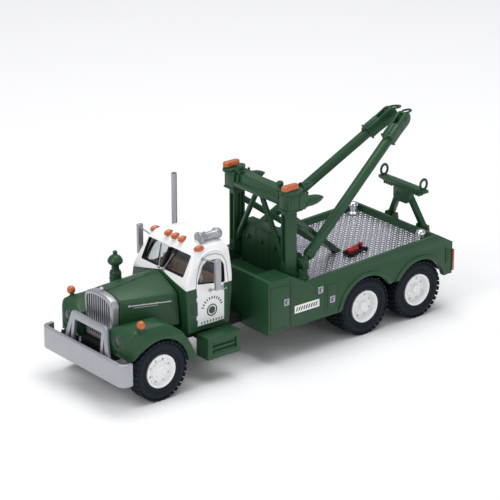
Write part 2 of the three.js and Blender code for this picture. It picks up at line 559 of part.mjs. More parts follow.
function wreckerBody() {
  const left = join(sideWall(), archFlange(), toolBox());
  const bulkhead = block([-BODY_HALF, BODY_HALF], [BODY_FRONT, BODY_FRONT + BODY_WALL], [6.9, BOX_TOP]);
  const under = DECK_PLATE + GAP;
  const floorRear = SILL_Y + 0.4;
  const floorSide = deckLayer(BODY_FRONT + 0.3, floorRear, under, under + FLOOR_THICK);
  const floor = prismX(floorSide, 0.3 - BODY_HALF, BODY_HALF - 0.3);
  const sillSide = [[BODY_FRONT + 0.3, FRAME_TOP + GAP], [BODY_TAIL - 0.3, FRAME_TOP + GAP],
    [BODY_TAIL - 0.3, DECK_TOP - 1.0], [floorRear, deckTopAt(floorRear) - 1.0], [DECK_RISE_Y, DECK_TOP - 1.0],
    [BODY_FRONT + 0.3, DECK_TOP - 1.0]];
  const sills = RAILS_X.map((x) => prismX(sillSide, ...x));
  const apronFoot = DECK_TOP - 1.1;
  const apron = prismX([[SILL_Y, apronFoot], [SILL_Y, RAIL_REAR_Z], [APRON_EDGE[0], RAIL_REAR_Z],
    [BODY_TAIL, APRON_EDGE[1]], [BODY_TAIL, apronFoot]].reverse(), -BODY_HALF + 0.3, BODY_HALF - 0.3);
  const tail = block([-BODY_HALF, BODY_HALF], [BODY_TAIL - BODY_WALL, BODY_TAIL], [TAIL_BOTTOM, DECK_TOP]);
  const lamp = block([11.6, FLANGE_HALF - 0.1], [BODY_TAIL - 0.2, BODY_TAIL + 0.4], [8.9, 13.7]);
  const frameSpace = block(
    [-FRAME_HALF - GAP, FRAME_HALF + GAP], [BODY_FRONT - 1, BODY_TAIL + 1], [0, FRAME_TOP + GAP]);
  const towCut = block([TOW_FOOT_X - 0.7, TOW_FOOT_X + 0.7], [TOW_PIN_Y - 0.9, TOW_PIN_Y + 4],
    [TOW_PIN_Z - 0.9, TOW_PIN_Z + 3]);
  const body = join(left, onRight(left), bulkhead, floor, ...sills, apron, tail, lamp, onRight(lamp),
    towLugs(1), towLugs(-1));
  return cut(body, frameSpace, towCut, onRight(towCut), toolBoxSpace(), onRight(toolBoxSpace()));
}

// Diamond plate over the floor between the rails.
function deckPlate() {
  const edge = BODY_HALF - BODY_WALL - GAP;
  const front = BODY_FRONT + BODY_WALL + GAP;
  const boxRear = BOX_REAR + GAP;
  const inner = BOX_INNER - GAP;
  const plan = [[-inner, front], [inner, front], [inner, boxRear], [edge, boxRear], [edge, SILL_Y - GAP],
    [-edge, SILL_Y - GAP], [-edge, boxRear], [-inner, boxRear]];
  const layer = deckLayer(front - 1, SILL_Y + 1, 0, DECK_PLATE);
  return prismZ(plan, 10, 20).intersect(prismX(layer, -14, 14));
}

// Chrome bollard on the deck corner.
function bollard() {
  const profile = [[0, 0], [1.25, 0], [1.25, 0.4], [0.8, 0.6], [0.8, 1.1], [1.0, 1.4], [1.08, 1.95],
    [0.85, 2.5], [0.45, 2.75], [0, 2.85]];
  return turned(profile, 20).translate([...BOLLARD_AT, deckTopAt(BOLLARD_AT[1] + 1.25) + GAP]);
}

// Trolley jack lying on the deck: pump body, handle socket and four small wheels.
function floorJack() {
  const settle = (part) => part.rotate([0, 0, JACK_TURN]).rotate([DECK_TILT, 0, 0])
    .translate([...JACK_AT, deckTopAt(JACK_AT[1]) + GAP]);
  const base = block([-1.1, 1.1], [-2.6, 3.0], [0.25, 0.85]);
  const wheels = [-2.0, 2.3].map((y) => rod([-1.45, y, 0.45], [1.45, y, 0.45], 0.45, 14));
  const pump = block([-0.75, 0.75], [-2.4, 0.8], [0.7, 1.5]);
  const saddle = rod([0, 1.9, 0.7], [0, 1.9, 1.9], 0.5, 14);
  return settle(join(base, ...wheels, pump, saddle));
}

// ---------------------------------------------------------------- mast
const mastPost = () => block(POST_X, POST_Y, [BOX_TOP + 0.1, HEAD_BOTTOM - GAP]);

// Foot of the post, cut to the sloping lid of the tool box.
function mastPostLeft() {
  const foot = hull([POST_X[0], POST_X[1]].flatMap((x) => [
    [x, POST_Y[0], 17.72], [x, POST_Y[1], DECK_TOP + 0.1], [x, POST_Y[0], 19], [x, POST_Y[1], 19]]));
  const lid = hull([BOX_INNER - GAP, 15].flatMap((x) => [
    [x, -8, 12], [x, -8, BOX_TOP + GAP], [x, BOX_EDGE, BOX_TOP - GAP],
    [x, BOX_REAR + GAP, RAIL_FRONT_Z + 0.08], [x, BOX_REAR + GAP, 12]]));
  const deck = block([0, 20], [-8, 20], [0, DECK_TOP + GAP]);
  return cut(join(mastPost(), foot), lid, deck);
}

function mastBeam() {
  const reach = POST_X[0] - 0.3;
  return prismX([[0.7, BEAM_Z[0]], [4.1, BEAM_Z[0]], [4.1, BEAM_Z[1]], [1.0, BEAM_Z[1]],
    [0.7, BEAM_Z[1] - 0.3]], -reach, reach);
}

// Left leg of the inverted V between the posts.
function mastBrace() {
  const leg = bar(BRACE.top, BRACE.foot, BRACE.wide, BRACE.tall);
  const room = block([0.04, POST_X[0] - GAP], [0, 3], [18.9, BEAM_Z[0] - GAP]);
  return leg.intersect(room);
}

// Left backstay, from the mast head down to the middle of the deck.
function rearStrut() {
  const stay = bar(STAY.top, STAY.foot, STAY.wide, STAY.tall);
  const front = POST_Y[1] + GAP;
  const room = prismX([[front, DECK_TOP + GAP], [DECK_RISE_Y, DECK_TOP + GAP], [22, deckTopAt(22) + GAP],
    [22, 40], [front, 40]], 0.3, 12);
  return stay.intersect(room);
}

// Winch housing between the posts.
function winchHousing() {
  const side = [[2.1, DECK_TOP + GAP], [6.6, DECK_TOP + GAP], [6.6, 20.6], [4.8, 24.8], [2.1, 24.8]];
  const drums = [-DRUM.x, DRUM.x].map((x) => rod(
    [x - DRUM.half, DRUM.y, DRUM.z], [x + DRUM.half, DRUM.y, DRUM.z], DRUM.r, 20));
  return join(prismX(side, -WINCH_HALF, WINCH_HALF), ...drums);
}

// Left mast head: bracket, lamp platform, knob and two rearward lamps.
function lightBracket() {
  const head = prismX([[0.6, HEAD_BOTTOM], [5.4, HEAD_BOTTOM], [6.2, 32.2], [6.2, 34.3], [4.6, 35.2],
    [0.6, 35.2]], POST_X[0] - 0.25, 10.7);
  const oval = new THREE.CylinderGeometry(1, 1, PLATFORM.thick, 18).rotateX(Math.PI / 2);
  oval.scale(PLATFORM.rx, PLATFORM.ry, 1);
  const platform = solid(oval).translate([PLATFORM.x, PLATFORM.y, PLATFORM.z]);
  const bullet = (length, r) => turned([[0, 0], [r * 0.9, 0], [r, 0.4], [r, length * 0.45],
    [r * 0.72, length * 0.75], [0.15, length], [0, length]], 14, AXIS.y);
  const flood = bullet(FLOOD.length, FLOOD.r).translate([FLOOD.x, FLOOD.y, FLOOD.z]);
  const knob = join(rod([KNOB.x, KNOB.y, KNOB.z - 1.6], [KNOB.x, KNOB.y, KNOB.z - 0.3], 0.42, 14),
    ball([KNOB.x, KNOB.y, KNOB.z], [KNOB.r, KNOB.r, KNOB.r - 0.05], 10));
  const knobArm = block([6.0, 9.0], [1.1, 2.2], [BEAM_Z[1] + GAP, BEAM_Z[1] + 0.5]);
  return join(head, platform, flood, cut(knob, block([5, 7.4], [0, 5], [30, BEAM_Z[1] + GAP])), knobArm);
}

// Small second lamp on the left mast head only.
function spotLamp() {
  const profile = [[0, 0], [0.75, 0], [0.8, 0.4], [0.75, 1.6], [0.35, 3.0], [0, 3.3]];
  return turned(profile, 16, AXIS.y).translate([8.3, 5.7, 35.5]);
}

// Capsule-shaped lens of the left beacon, drawn in towards its top.
function beacon() {
  const rim = [-1, 1].flatMap((end) => Array.from({ length: 12 }, (_, i) => {
    const angle = i * Math.PI / 6;
    return [BEACON.r * Math.cos(angle), end * (BEACON.reach + BEACON.r * Math.sin(angle))];
  }));
  const layer = (z, narrow, short) => rim.map(([x, y]) => [BEACON.x + x * narrow, BEACON.y + y * short, z]);
  return hull([...layer(BEACON.bottom, 1, 1), ...layer(BEACON.top - 0.4, 0.95, 0.97),
    ...layer(BEACON.top, 0.6, 0.85)]);
}

// ---------------------------------------------------------------- booms
const boomDirection = new THREE.Vector3(...BOOM_LEAN).normalize();
const boomFlat = new THREE.Vector3(BOOM_LEAN[0], BOOM_LEAN[1], 0).normalize();
const tiltAxis = new THREE.Vector3().crossVectors(boomFlat, AXIS.z);

// Places a piece made along +Y with its pin at the origin: along the boom, or level with the swivel.
function alongBoom(part, level) {
  const forward = level ? boomFlat : boomDirection;
  const up = new THREE.Vector3().crossVectors(tiltAxis, forward);
  const turn = new THREE.Matrix4().makeBasis(tiltAxis, forward, up);
  turn.setPosition(...BOOM_FOOT);
  return part.transform(turn.elements);
}

// Turntable of the left boom, with its fork and tilt pin.
function boomSwivel() {
  const drop = BOOM_FOOT[2] - DECK_TOP - GAP;
  const base = rod([0, 0, -drop], [0, 0, -drop + 0.5], 1.5, 16);
  const post = rod([0, 0, -drop], [0, 0, -1.15], 1.15, 16);
  const ear = [[-0.9, -1.3], [0.9, -1.3], [0.9, 0.2], [0.5, 0.8], [-0.5, 0.8], [-0.9, 0.2]];
  const ears = [-FORK_X, FORK_X].map((x) => prismX(ear, x - 0.25, x + 0.25));
  const pin = rod([-1.15, 0, 0], [1.15, 0, 0], PIN_R, 12);
  return alongBoom(join(base, post, ...ears, pin), true);
}

// Left boom: hinge eye, tube, sleeve, sheave cheeks and cable ring.
function boom() {
  const eye = rod([-EYE_HALF, 0, 0], [EYE_HALF, 0, 0], 0.9, 16);
  const neck = block([-EYE_HALF, EYE_HALF], [0, 2.4], [-0.8, 0.8]);
  const tube = rod([0, 1.9, 0], [0, BOOM_LENGTH - 3.2, 0], BOOM_R, 18);
  const sleeve = block([-1.2, 1.2], SLEEVE, [-1.25, 1.6]);
  const cheeks = [-0.8, 0.8].map((x) => join(
    rod([x - 0.3, BOOM_LENGTH, 0], [x + 0.3, BOOM_LENGTH, 0], 1.5, 16),
    block([x - 0.3, x + 0.3], [BOOM_LENGTH - 3.6, BOOM_LENGTH], [-1.5, 1.5])));
  const sheave = rod([-0.6, BOOM_LENGTH, 0], [0.6, BOOM_LENGTH, 0], 1.25, 16);
  const ring = solid(new THREE.TorusGeometry(1.15, 0.24, 6, 14)).scale([0.85, 1.25, 1])
    .rotate([-33, 0, 0]).translate([0, BOOM_LENGTH + 1.75, 0.45]);
  const hole = rod([-2, 0, 0], [2, 0, 0], PIN_R + RUNNING, 14);
  return alongBoom(cut(join(eye, neck, tube, sleeve, ...cheeks, sheave, ring), hole), false);
}

// ---------------------------------------------------------------- tow bar
// Folding A-frame on the tail, with a cross bar and two eyes.
function towLeg(side) {
  const foot = [side * TOW_FOOT_X, TOW_PIN_Y, TOW_PIN_Z];
  const knuckle = rod([foot[0] - 0.6, foot[1], foot[2]], [foot[0] + 0.6, foot[1], foot[2]], 0.75, 14);
  const pinEnd = (reach) => [side * (TOW_FOOT_X + reach), foot[1], foot[2]];
  const pin = rod(pinEnd(-1.65), pinEnd(1.25), PIN_R, 12);
  const leg = bar(foot, [side * 1.5, TOW_PIN_Y - TOW_LEAN * 0.8, 23.6], 1.2, 1.15);
  const clear = block(side > 0 ? [0, 9] : [-9, 0], [40, 45], [TOW_PIN_Z - 0.1, 30]);
  return join(knuckle, pin, leg.intersect(clear));
}

function towBar() {
  const y = TOW_PIN_Y - TOW_LEAN;
  const [bottom, shoulder, half] = TOW_YOKE;
  const yoke = prismY([[-half, shoulder], [1 - half, bottom], [half - 1, bottom], [half, shoulder],
    [half, TOW_BAR_Z], [-half, TOW_BAR_Z]].reverse(), y - 0.8, y + 0.8);
  const end = TOW_BAR_HALF;
  const cross = prismY([[-end, TOW_BAR_Z], [-3.4, TOW_BAR_Z - 0.6], [3.4, TOW_BAR_Z - 0.6], [end, TOW_BAR_Z],
    [end, TOW_BAR_Z + 0.7], [3.4, TOW_BAR_Z + 0.8], [-3.4, TOW_BAR_Z + 0.8],
    [-end, TOW_BAR_Z + 0.7]].reverse(), y - 1.0, y + 0.8);
  const eyes = [-TOW_EYE_X, TOW_EYE_X].map((x) => solid(
    new THREE.TorusGeometry(0.95, 0.3, 6, 14).rotateY(Math.PI / 2))
    .scale([1, 1, 1.2]).translate([x, y, TOW_BAR_Z + 1.9]));
  return join(towLeg(1), towLeg(-1), yoke, cross, ...eyes);
}

// ---------------------------------------------------------------- assembly
const truck = new THREE.Group();

function place(name, part, colour) {
  const [hex, roughness, metalness] = COLOURS[colour];
  const material = new THREE.MeshStandardMaterial({ color: hex, roughness, metalness });
  const mesh = new THREE.Mesh(geometryOf(part), material);
  mesh.name = name;
  truck.add(mesh);
}

// The same piece on the left and, mirrored, on the right.
function placePair(name, part, colour) {
  place(`${name}_left`, part, colour);
  place(`${name}_right`, onRight(part), colour);
}

function placeAxle(name, y, width, dual) {
  const centre = WHEEL_OUT - width / 2;
  place(`${name}_axle`, axleRod(y, WHEEL_OUT - 0.9), 'steel');
  placePair(`${name}_wheel`, wheel(width).translate([centre, y, TYRE_R]), 'white');
  placePair(`${name}_tyre`, tyre(width, dual).translate([centre, y, TYRE_R]), 'black');
}

place('chassis_frame', chassisFrame(), 'black');
place('bumper', bumper(), 'silver');
place('push_guard', pushGuard(), 'silver');
place('radiator', radiator(), 'silver');
place('hood', hood(), 'green');
place('front_fender_left', frontFender(), 'green');
place('front_fender_right', cut(onRight(frontFender()),
  rod([CLEANER.x, CLEANER.y, CLEANER.foot - GAP], [CLEANER.x, CLEANER.y, 30], CLEANER.r + GAP, 24)), 'green');
place('air_cleaner', airCleaner(), 'green');
place('cab_shell', cabShell(), 'white');
place('cab_glazing', cabGlazing(), 'glass');
place('cab_interior', cabInterior(), 'tan');
MARKER_X.forEach((x, i) => place(`roof_marker_${i + 1}`, roofMarker(x), 'orange'));
place('air_horn', airHorn(), 'silver');
placePair('mirror', mirror(), 'silver');
placePair('step_box', stepBox(), 'green');
place('exhaust_stack', exhaustStack(), 'silver');
place('wrecker_body', wreckerBody(), 'green');
place('deck_plate', deckPlate(), 'plate');
placePair('bollard', bollard(), 'chrome');
place('floor_jack', floorJack(), 'red');
placePair('mast_post', mastPostLeft(), 'green');
place('mast_beam', mastBeam(), 'green');
placePair('mast_brace', mastBrace(), 'green');
placePair('rear_strut', rearStrut(), 'green');
place('winch_housing', winchHousing(), 'darkGreen');
placePair('light_bracket', lightBracket(), 'green');
place('spot_lamp', spotLamp(), 'green');
placePair('beacon', beacon(), 'orange');
placePair('boom_swivel', boomSwivel(), 'green');
placePair('boom', boom(), 'green');
place('tow_bar', towBar(), 'green');
placeAxle('front', FRONT_AXLE_Y, SINGLE_WIDTH, false);
placeAxle('middle', REAR_AXLE_Y[0], DUAL_WIDTH, true);
placeAxle('rear', REAR_AXLE_Y[1], DUAL_WIDTH, true);

export default truck;
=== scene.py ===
"""Looks of a small-scale toy tow truck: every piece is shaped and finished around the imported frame.

Shapes are worked in millimetres of the truck's own frame and handed over in metres. The bumper faces -Y,
the truck's left side is +X and the ground is z = 0.
"""

from __future__ import annotations

import logging
import math
from dataclasses import dataclass, field
from enum import Enum
from typing import Any, Callable, Iterable, Sequence

import bmesh
import bpy
from mathutils import Matrix, Vector
from mathutils.bvhtree import BVHTree


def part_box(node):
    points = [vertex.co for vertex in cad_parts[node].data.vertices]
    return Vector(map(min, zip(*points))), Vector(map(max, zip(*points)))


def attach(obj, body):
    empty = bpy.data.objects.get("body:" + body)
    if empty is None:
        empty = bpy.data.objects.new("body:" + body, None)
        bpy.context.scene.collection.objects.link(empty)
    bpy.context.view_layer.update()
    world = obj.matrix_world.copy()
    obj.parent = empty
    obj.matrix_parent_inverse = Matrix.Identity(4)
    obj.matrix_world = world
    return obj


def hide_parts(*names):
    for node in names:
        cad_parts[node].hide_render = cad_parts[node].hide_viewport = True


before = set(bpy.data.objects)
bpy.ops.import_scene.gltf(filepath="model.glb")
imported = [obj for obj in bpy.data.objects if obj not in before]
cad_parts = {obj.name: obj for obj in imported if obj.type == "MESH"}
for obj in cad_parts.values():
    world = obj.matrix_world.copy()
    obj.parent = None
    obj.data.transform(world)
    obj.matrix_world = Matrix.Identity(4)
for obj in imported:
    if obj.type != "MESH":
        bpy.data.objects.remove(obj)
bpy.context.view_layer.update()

MM = 0.001
FULL_TURN = 2 * math.pi
LOG = logging.getLogger("tow_truck")

Pair = tuple[float, float]
Triple = tuple[float, float, float]
Colour = tuple[float, float, float]
UP = Vector((0, 0, 1))
SIDES = {"left": 1, "right": -1}


class Body(Enum):
    """Bodies of the frame that pieces ride on."""

    CHASSIS = "chassis"
    FRONT = "front_wheelset"
    MIDDLE = "middle_wheelset"
    REAR = "rear_wheelset"
    TOW_BAR = "towing_bar"
    SWIVEL_LEFT = "left_swivel"
    SWIVEL_RIGHT = "right_swivel"
    BOOM_LEFT = "left_boom"
    BOOM_RIGHT = "right_boom"


class Across(Enum):
    """Axis that an outline is drawn out along, with the order of its two coordinates."""

    X = ((0, 0, 1), (1, 0, 0), (0, 1, 0))
    Y = ((1, 0, 0), (0, 0, 1), (0, 1, 0))
    Z = ((1, 0, 0), (0, 1, 0), (0, 0, 1))

    def point(self, a: float, b: float, depth: float) -> Vector:
        """The point at outline coordinates a and b, at a depth along the axis.

        Args:
            a: first coordinate in the outline.
            b: second coordinate in the outline.
            depth: coordinate along the axis.

        Returns:
            The point in the frame of the truck.
        """
        if self is Across.X:
            return Vector((depth, a, b))
        if self is Across.Y:
            return Vector((a, depth, b))
        return Vector((a, b, depth))


# ---------------------------------------------------------------------------------- shader maths


class Wire:
    """A value in a node tree. Arithmetic on it adds Math nodes."""

    def __init__(self, sheet: "NodeSheet", socket: bpy.types.NodeSocket) -> None:
        """Wraps an output socket of the sheet's tree."""
        self.sheet = sheet
        self.socket = socket

    def _maths(self, operation: str, *values: Any) -> "Wire":
        """The result of one Math node."""
        return self.sheet.wire("ShaderNodeMath", {"operation": operation}, dict(enumerate(values)))

    def __add__(self, other: Any) -> "Wire":
        """self + other."""
        return self._maths("ADD", self, other)

    def __sub__(self, other: Any) -> "Wire":
        """self - other."""
        return self._maths("SUBTRACT", self, other)

    def __rsub__(self, other: Any) -> "Wire":
        """other - self."""
        return self._maths("SUBTRACT", other, self)

    def __mul__(self, other: Any) -> "Wire":
        """self * other."""
        return self._maths("MULTIPLY", self, other)

    def __gt__(self, other: Any) -> "Wire":
        """1 where self is above other, else 0."""
        return self._maths("GREATER_THAN", self, other)

    def __lt__(self, other: Any) -> "Wire":
        """1 where self is below other, else 0."""
        return self._maths("LESS_THAN", self, other)

    def __abs__(self) -> "Wire":
        """The value without its sign."""
        return self._maths("ABSOLUTE", self)

    def either(self, other: "Wire") -> "Wire":
        """The larger of two masks."""
        return self._maths("MAXIMUM", self, other)

    __radd__ = __add__
    __rmul__ = __mul__


class NodeSheet:
    """One material's node tree, built from typed steps."""

    def __init__(self, title: str) -> None:
        """Starts an empty material of that name.

        Args:
            title: name of the material.
        """
        self.material = bpy.data.materials.new(title)
        self.material.use_nodes = True
        self.tree = self.material.node_tree
        self.tree.nodes.clear()

    def add(self, kind: str, settings: dict[str, Any] | None = None,
            sockets: dict[str | int, Any] | None = None) -> bpy.types.Node:
        """Adds one node.

        Args:
            kind: the node's type.
            settings: its properties, set first; "stops" are a ramp's (position, colour) pairs.
            sockets: values or links of its inputs, by name or number.

        Returns:
            The node.
        """
        node = self.tree.nodes.new(kind)
        for key, value in (settings or {}).items():
            if key == "stops":
                self._set_stops(node, value)
            else:
                setattr(node, key, value)
        for key, value in (sockets or {}).items():
            self.feed(node.inputs[key], value)
        return node

    @staticmethod
    def _set_stops(node: bpy.types.Node, stops: Sequence[tuple[float, Colour]]) -> None:
        """Gives a ramp its stops.

        Args:
            node: ramp node.
            stops: position and colour of each stop.
        """
        elements = node.color_ramp.elements
        while len(elements) < len(stops):
            elements.new(0.5)
        for element, (position, colour) in zip(elements, stops):
            element.position = position
            element.color = (*colour, 1)

    def feed(self, socket: bpy.types.NodeSocket, value: Any) -> None:
        """Links a wire or socket to an input, or sets its value.

        Args:
            socket: input to fill.
            value: wire, socket or plain value.
        """
        source = value.socket if isinstance(value, Wire) else value
        if isinstance(source, bpy.types.NodeSocket):
            self.tree.links.new(source, socket)
        elif socket.type == "RGBA" and len(source) == 3:
            socket.default_value = (*source, 1)
        else:
            socket.default_value = source

    def wire(self, kind: str, settings: dict[str, Any] | None = None,
             sockets: dict[str | int, Any] | None = None, output: str | int = 0) -> Wire:
        """Adds one node and returns the wire of one of its outputs."""
        return Wire(self, self.add(kind, settings, sockets).outputs[output])

    def place(self) -> Wire:
        """Coordinates on the piece, in millimetres."""
        metres = self.wire("ShaderNodeTexCoord", output="Object")
        return self.wire("ShaderNodeMapping", sockets={"Vector": metres, "Scale": (1000, 1000, 1000)})

    def noise(self, scale: float, detail: float = 3.0, stretch: Triple = (1, 1, 1)) -> Wire:
        """Noise from 0 to 1, with a given number of features to the millimetre.

        Args:
            scale: features to the millimetre.
            detail: octaves.
            stretch: scale of each axis.

        Returns:
            The noise.
        """
        point = self.wire("ShaderNodeMapping", sockets={"Vector": self.place(), "Scale": stretch})
        return self.wire("ShaderNodeTexNoise", sockets={"Vector": point, "Scale": scale, "Detail": detail},
                         output="Fac")

    def axes(self) -> tuple[Wire, Wire, Wire]:
        """The three coordinates on the piece, in millimetres."""
        parts = self.add("ShaderNodeSeparateXYZ", sockets={0: self.place()})
        return tuple(Wire(self, parts.outputs[i]) for i in range(3))

    def mix(self, mask: Any, first: Any, second: Any) -> Wire:
        """Colour first where the mask is 0, second where it is 1."""
        return self.wire("ShaderNodeMix", {"data_type": "RGBA"},
                         {"Factor": mask, 6: first, 7: second}, output=2)

    def bump(self, height: Any, distance_mm: float, strength: float = 1.0) -> Wire:
        """A normal from a height map."""
        return self.wire("ShaderNodeBump", sockets={
            "Height": height, "Distance": distance_mm * MM, "Strength": strength}, output="Normal")

    def surface(self, links: dict[str, Any], constants: dict[str, Any]) -> bpy.types.Material:
        """Finishes the sheet with one Principled surface.

        Args:
            links: sockets that change over the surface.
            constants: sockets that are the same all over it.

        Returns:
            The material.
        """
        shader = self.add("ShaderNodeBsdfPrincipled", sockets={**constants, **links})
        self.add("ShaderNodeOutputMaterial", sockets={"Surface": shader.outputs[0]})
        return self.material


# ---------------------------------------------------------------------------------- finishes


def shade(colour: Colour, factor: float) -> Colour:
    """A colour made lighter or darker."""
    return tuple(min(1.0, part * factor) for part in colour)


@dataclass(frozen=True)
class Finish:
    """A surface finish and the record's material slot it belongs to."""

    title: str
    slot: str
    colour: Colour

    def material(self) -> bpy.types.Material:
        """The finish's material, made once."""
        return bpy.data.materials.get(self.title) or self.make(NodeSheet(self.title))

    def make(self, sheet: NodeSheet) -> bpy.types.Material:
        """Builds the node tree."""
        raise NotImplementedError


@dataclass(frozen=True)
class MouldedPaint(Finish):
    """Sprayed satin paint on moulded plastic: faint mottling, orange peel and rubbed patches."""

    roughness: float = 0.38
    coat: float = 0.04
    mottle: float = 0.14
    shine: float = 0.36

    def base(self, sheet: NodeSheet) -> Wire:
        """Base colour with its mottling."""
        cloud = sheet.noise(0.22, 4)
        return sheet.mix(cloud, shade(self.colour, 1 - self.mottle), shade(self.colour, 1 + self.mottle))

    def make(self, sheet: NodeSheet) -> bpy.types.Material:
        """Builds the node tree.

        Args:
            sheet: nodes of its material.

        Returns:
            The material.
        """
        patches = sheet.noise(0.6, 5)
        peel = sheet.noise(2.6, 2)
        grain = sheet.noise(9.0, 2)
        links = {
            "Base Color": self.base(sheet),
            "Roughness": self.roughness - 0.07 + patches * 0.14,
            "Normal": sheet.bump(peel + grain * 0.35, 0.012, 0.6),
        }
        return sheet.surface(links, {"Coat Weight": self.coat, "Coat Roughness": 0.18, "IOR": 1.48,
                                     "Specular IOR Level": self.shine})


@dataclass(frozen=True)
class CabPaint(MouldedPaint):
    """Two-tone cab: white roof, screen surround and door panel over the body colour."""

    lower: Colour = (0, 0, 0)
    screen_edge: Pair = (21.95, 0.215)      # height at the middle, and its fall for each mm sideways
    screen_back: float = -22.25
    belt: float = 19.55                     # height of the break behind the door
    door: Pair = (-22.25, -15.35)
    sill: float = 11.6
    flank: float = 8.3                      # the door panel is only on the cab's sides

    def base(self, sheet: NodeSheet) -> Wire:
        """Colour split along the paint's masking lines.

        Args:
            sheet: nodes of its material.

        Returns:
            The colour.
        """
        x, y, z = sheet.axes()
        middle, fall = self.screen_edge
        front = (z > (middle - abs(x) * fall)) * (y < self.screen_back)
        upper = (z > self.belt) * (y > self.screen_back)
        panel = (z > self.sill) * (y > self.door[0]) * (y < self.door[1]) * (abs(x) > self.flank)
        white = front.either(upper).either(panel)
        cloud = sheet.noise(0.22, 4)
        low = sheet.mix(cloud, shade(self.lower, 1 - self.mottle), shade(self.lower, 1 + self.mottle))
        high = sheet.mix(cloud, shade(self.colour, 0.97), self.colour)
        return sheet.mix(white, low, high)


@dataclass(frozen=True)
class SilverPaint(Finish):
    """Metallic paint with fine flake and slightly cloudy cover."""

    roughness: float = 0.36
    metallic: float = 0.55
    flake: float = 0.22

    def make(self, sheet: NodeSheet) -> bpy.types.Material:
        """Builds the node tree.

        Args:
            sheet: nodes of its material.

        Returns:
            The material.
        """
        flakes = sheet.noise(7.0, 2)
        cloud = sheet.noise(0.5, 4)
        base = sheet.mix(flakes * 0.6 + cloud * 0.4, shade(self.colour, 1 - self.flake),
                         shade(self.colour, 1 + self.flake))
        links = {
            "Base Color": base,
            "Roughness": self.roughness - 0.08 + cloud * 0.16,
            "Normal": sheet.bump(flakes, 0.012, 0.7),
        }
        return sheet.surface(links, {"Metallic": self.metallic})


@dataclass(frozen=True)
class Plating(Finish):
    """Vacuum plating: bright, with a few softer patches."""

    roughness: float = 0.12

    def make(self, sheet: NodeSheet) -> bpy.types.Material:
        """Builds the node tree.

        Args:
            sheet: nodes of its material.

        Returns:
            The material.
        """
        cloud = sheet.noise(0.8, 4)
        links = {
            "Base Color": sheet.mix(cloud, shade(self.colour, 0.88), self.colour),
            "Roughness": self.roughness - 0.04 + cloud * 0.12,
            "Normal": sheet.bump(sheet.noise(3.0, 2), 0.006, 0.4),
        }
        return sheet.surface(links, {"Metallic": 1.0})


@dataclass(frozen=True)
class TyreRubber(Finish):
    """Moulded black rubber with a dusty bloom and fine grain."""

    def make(self, sheet: NodeSheet) -> bpy.types.Material:
        """Builds the node tree.

        Args:
            sheet: nodes of its material.

        Returns:
            The material.
        """
        bloom = sheet.noise(0.7, 5)
        links = {
            "Base Color": sheet.mix(bloom, shade(self.colour, 0.7), shade(self.colour, 1.5)),
            "Roughness": 0.66 + bloom * 0.22,
            "Normal": sheet.bump(sheet.noise(6.0, 3), 0.02, 0.6),
        }
        return sheet.surface(links, {"IOR": 1.45, "Specular IOR Level": 0.25})


@dataclass(frozen=True)
class LensPlastic(Finish):
    """Coloured lens paint, glossy, a little deeper in places."""

    def make(self, sheet: NodeSheet) -> bpy.types.Material:
        """Builds the node tree.

        Args:
            sheet: nodes of its material.

        Returns:
            The material.
        """
        depth = sheet.noise(1.1, 3)
        links = {
            "Base Color": sheet.mix(depth, shade(self.colour, 0.8), shade(self.colour, 1.2)),
            "Roughness": 0.16 + depth * 0.12,
            "Normal": sheet.bump(sheet.noise(4.0, 2), 0.008, 0.5),
        }
        return sheet.surface(links, {"Coat Weight": 0.5, "Coat Roughness": 0.08, "IOR": 1.5})


@dataclass(frozen=True)
class ClearPlastic(Finish):
    """Clear window moulding, faintly smoked and rippled."""

    def make(self, sheet: NodeSheet) -> bpy.types.Material:
        """Builds the node tree.

        Args:
            sheet: nodes of its material.

        Returns:
            The material.
        """
        ripple = sheet.noise(0.5, 2)
        links = {
            "Base Color": sheet.mix(ripple, shade(self.colour, 0.94), self.colour),
            "Roughness": 0.01 + ripple * 0.04,
            "Normal": sheet.bump(ripple, 0.03, 0.4),
        }
        return sheet.surface(links, {"Transmission Weight": 1.0, "IOR": 1.45})


GREEN = (0.016, 0.068, 0.027)
WHITE = (0.90, 0.905, 0.91)
PAINT_GREEN = MouldedPaint("paint_green", "green_plastic", GREEN)
# The body's own green plastic darkened to 72 %: painted shade for the winch casing, drums and sheaves under
# the beam and between cheeks.
PAINT_GREEN_PAINTED_SHADE = MouldedPaint("paint_green_painted_shade", "green_plastic", shade(GREEN, 0.72), roughness=0.45)
PAINT_CAB = CabPaint("paint_cab", "white_plastic", WHITE, mottle=0.16, lower=GREEN)
PAINT_WHITE = MouldedPaint("paint_white", "white_plastic", WHITE, roughness=0.42, mottle=0.03)
PAINT_RED = MouldedPaint("paint_red", "red_plastic", (0.43, 0.018, 0.020), roughness=0.3)
PAINT_INK = MouldedPaint("printed_ink", "green_plastic", (0.018, 0.03, 0.022), roughness=0.5, coat=0.0)
PAINT_BLACK = MouldedPaint("moulded_black", "black_plastic", (0.012, 0.012, 0.014), roughness=0.6,
                           coat=0.0, shine=0.2)
PAINT_TAN = MouldedPaint("moulded_tan", "tan_plastic", (0.75, 0.50, 0.36), roughness=0.6, coat=0.0)
SILVER = SilverPaint("paint_silver", "silver_plastic", (0.40, 0.41, 0.44), metallic=0.6)
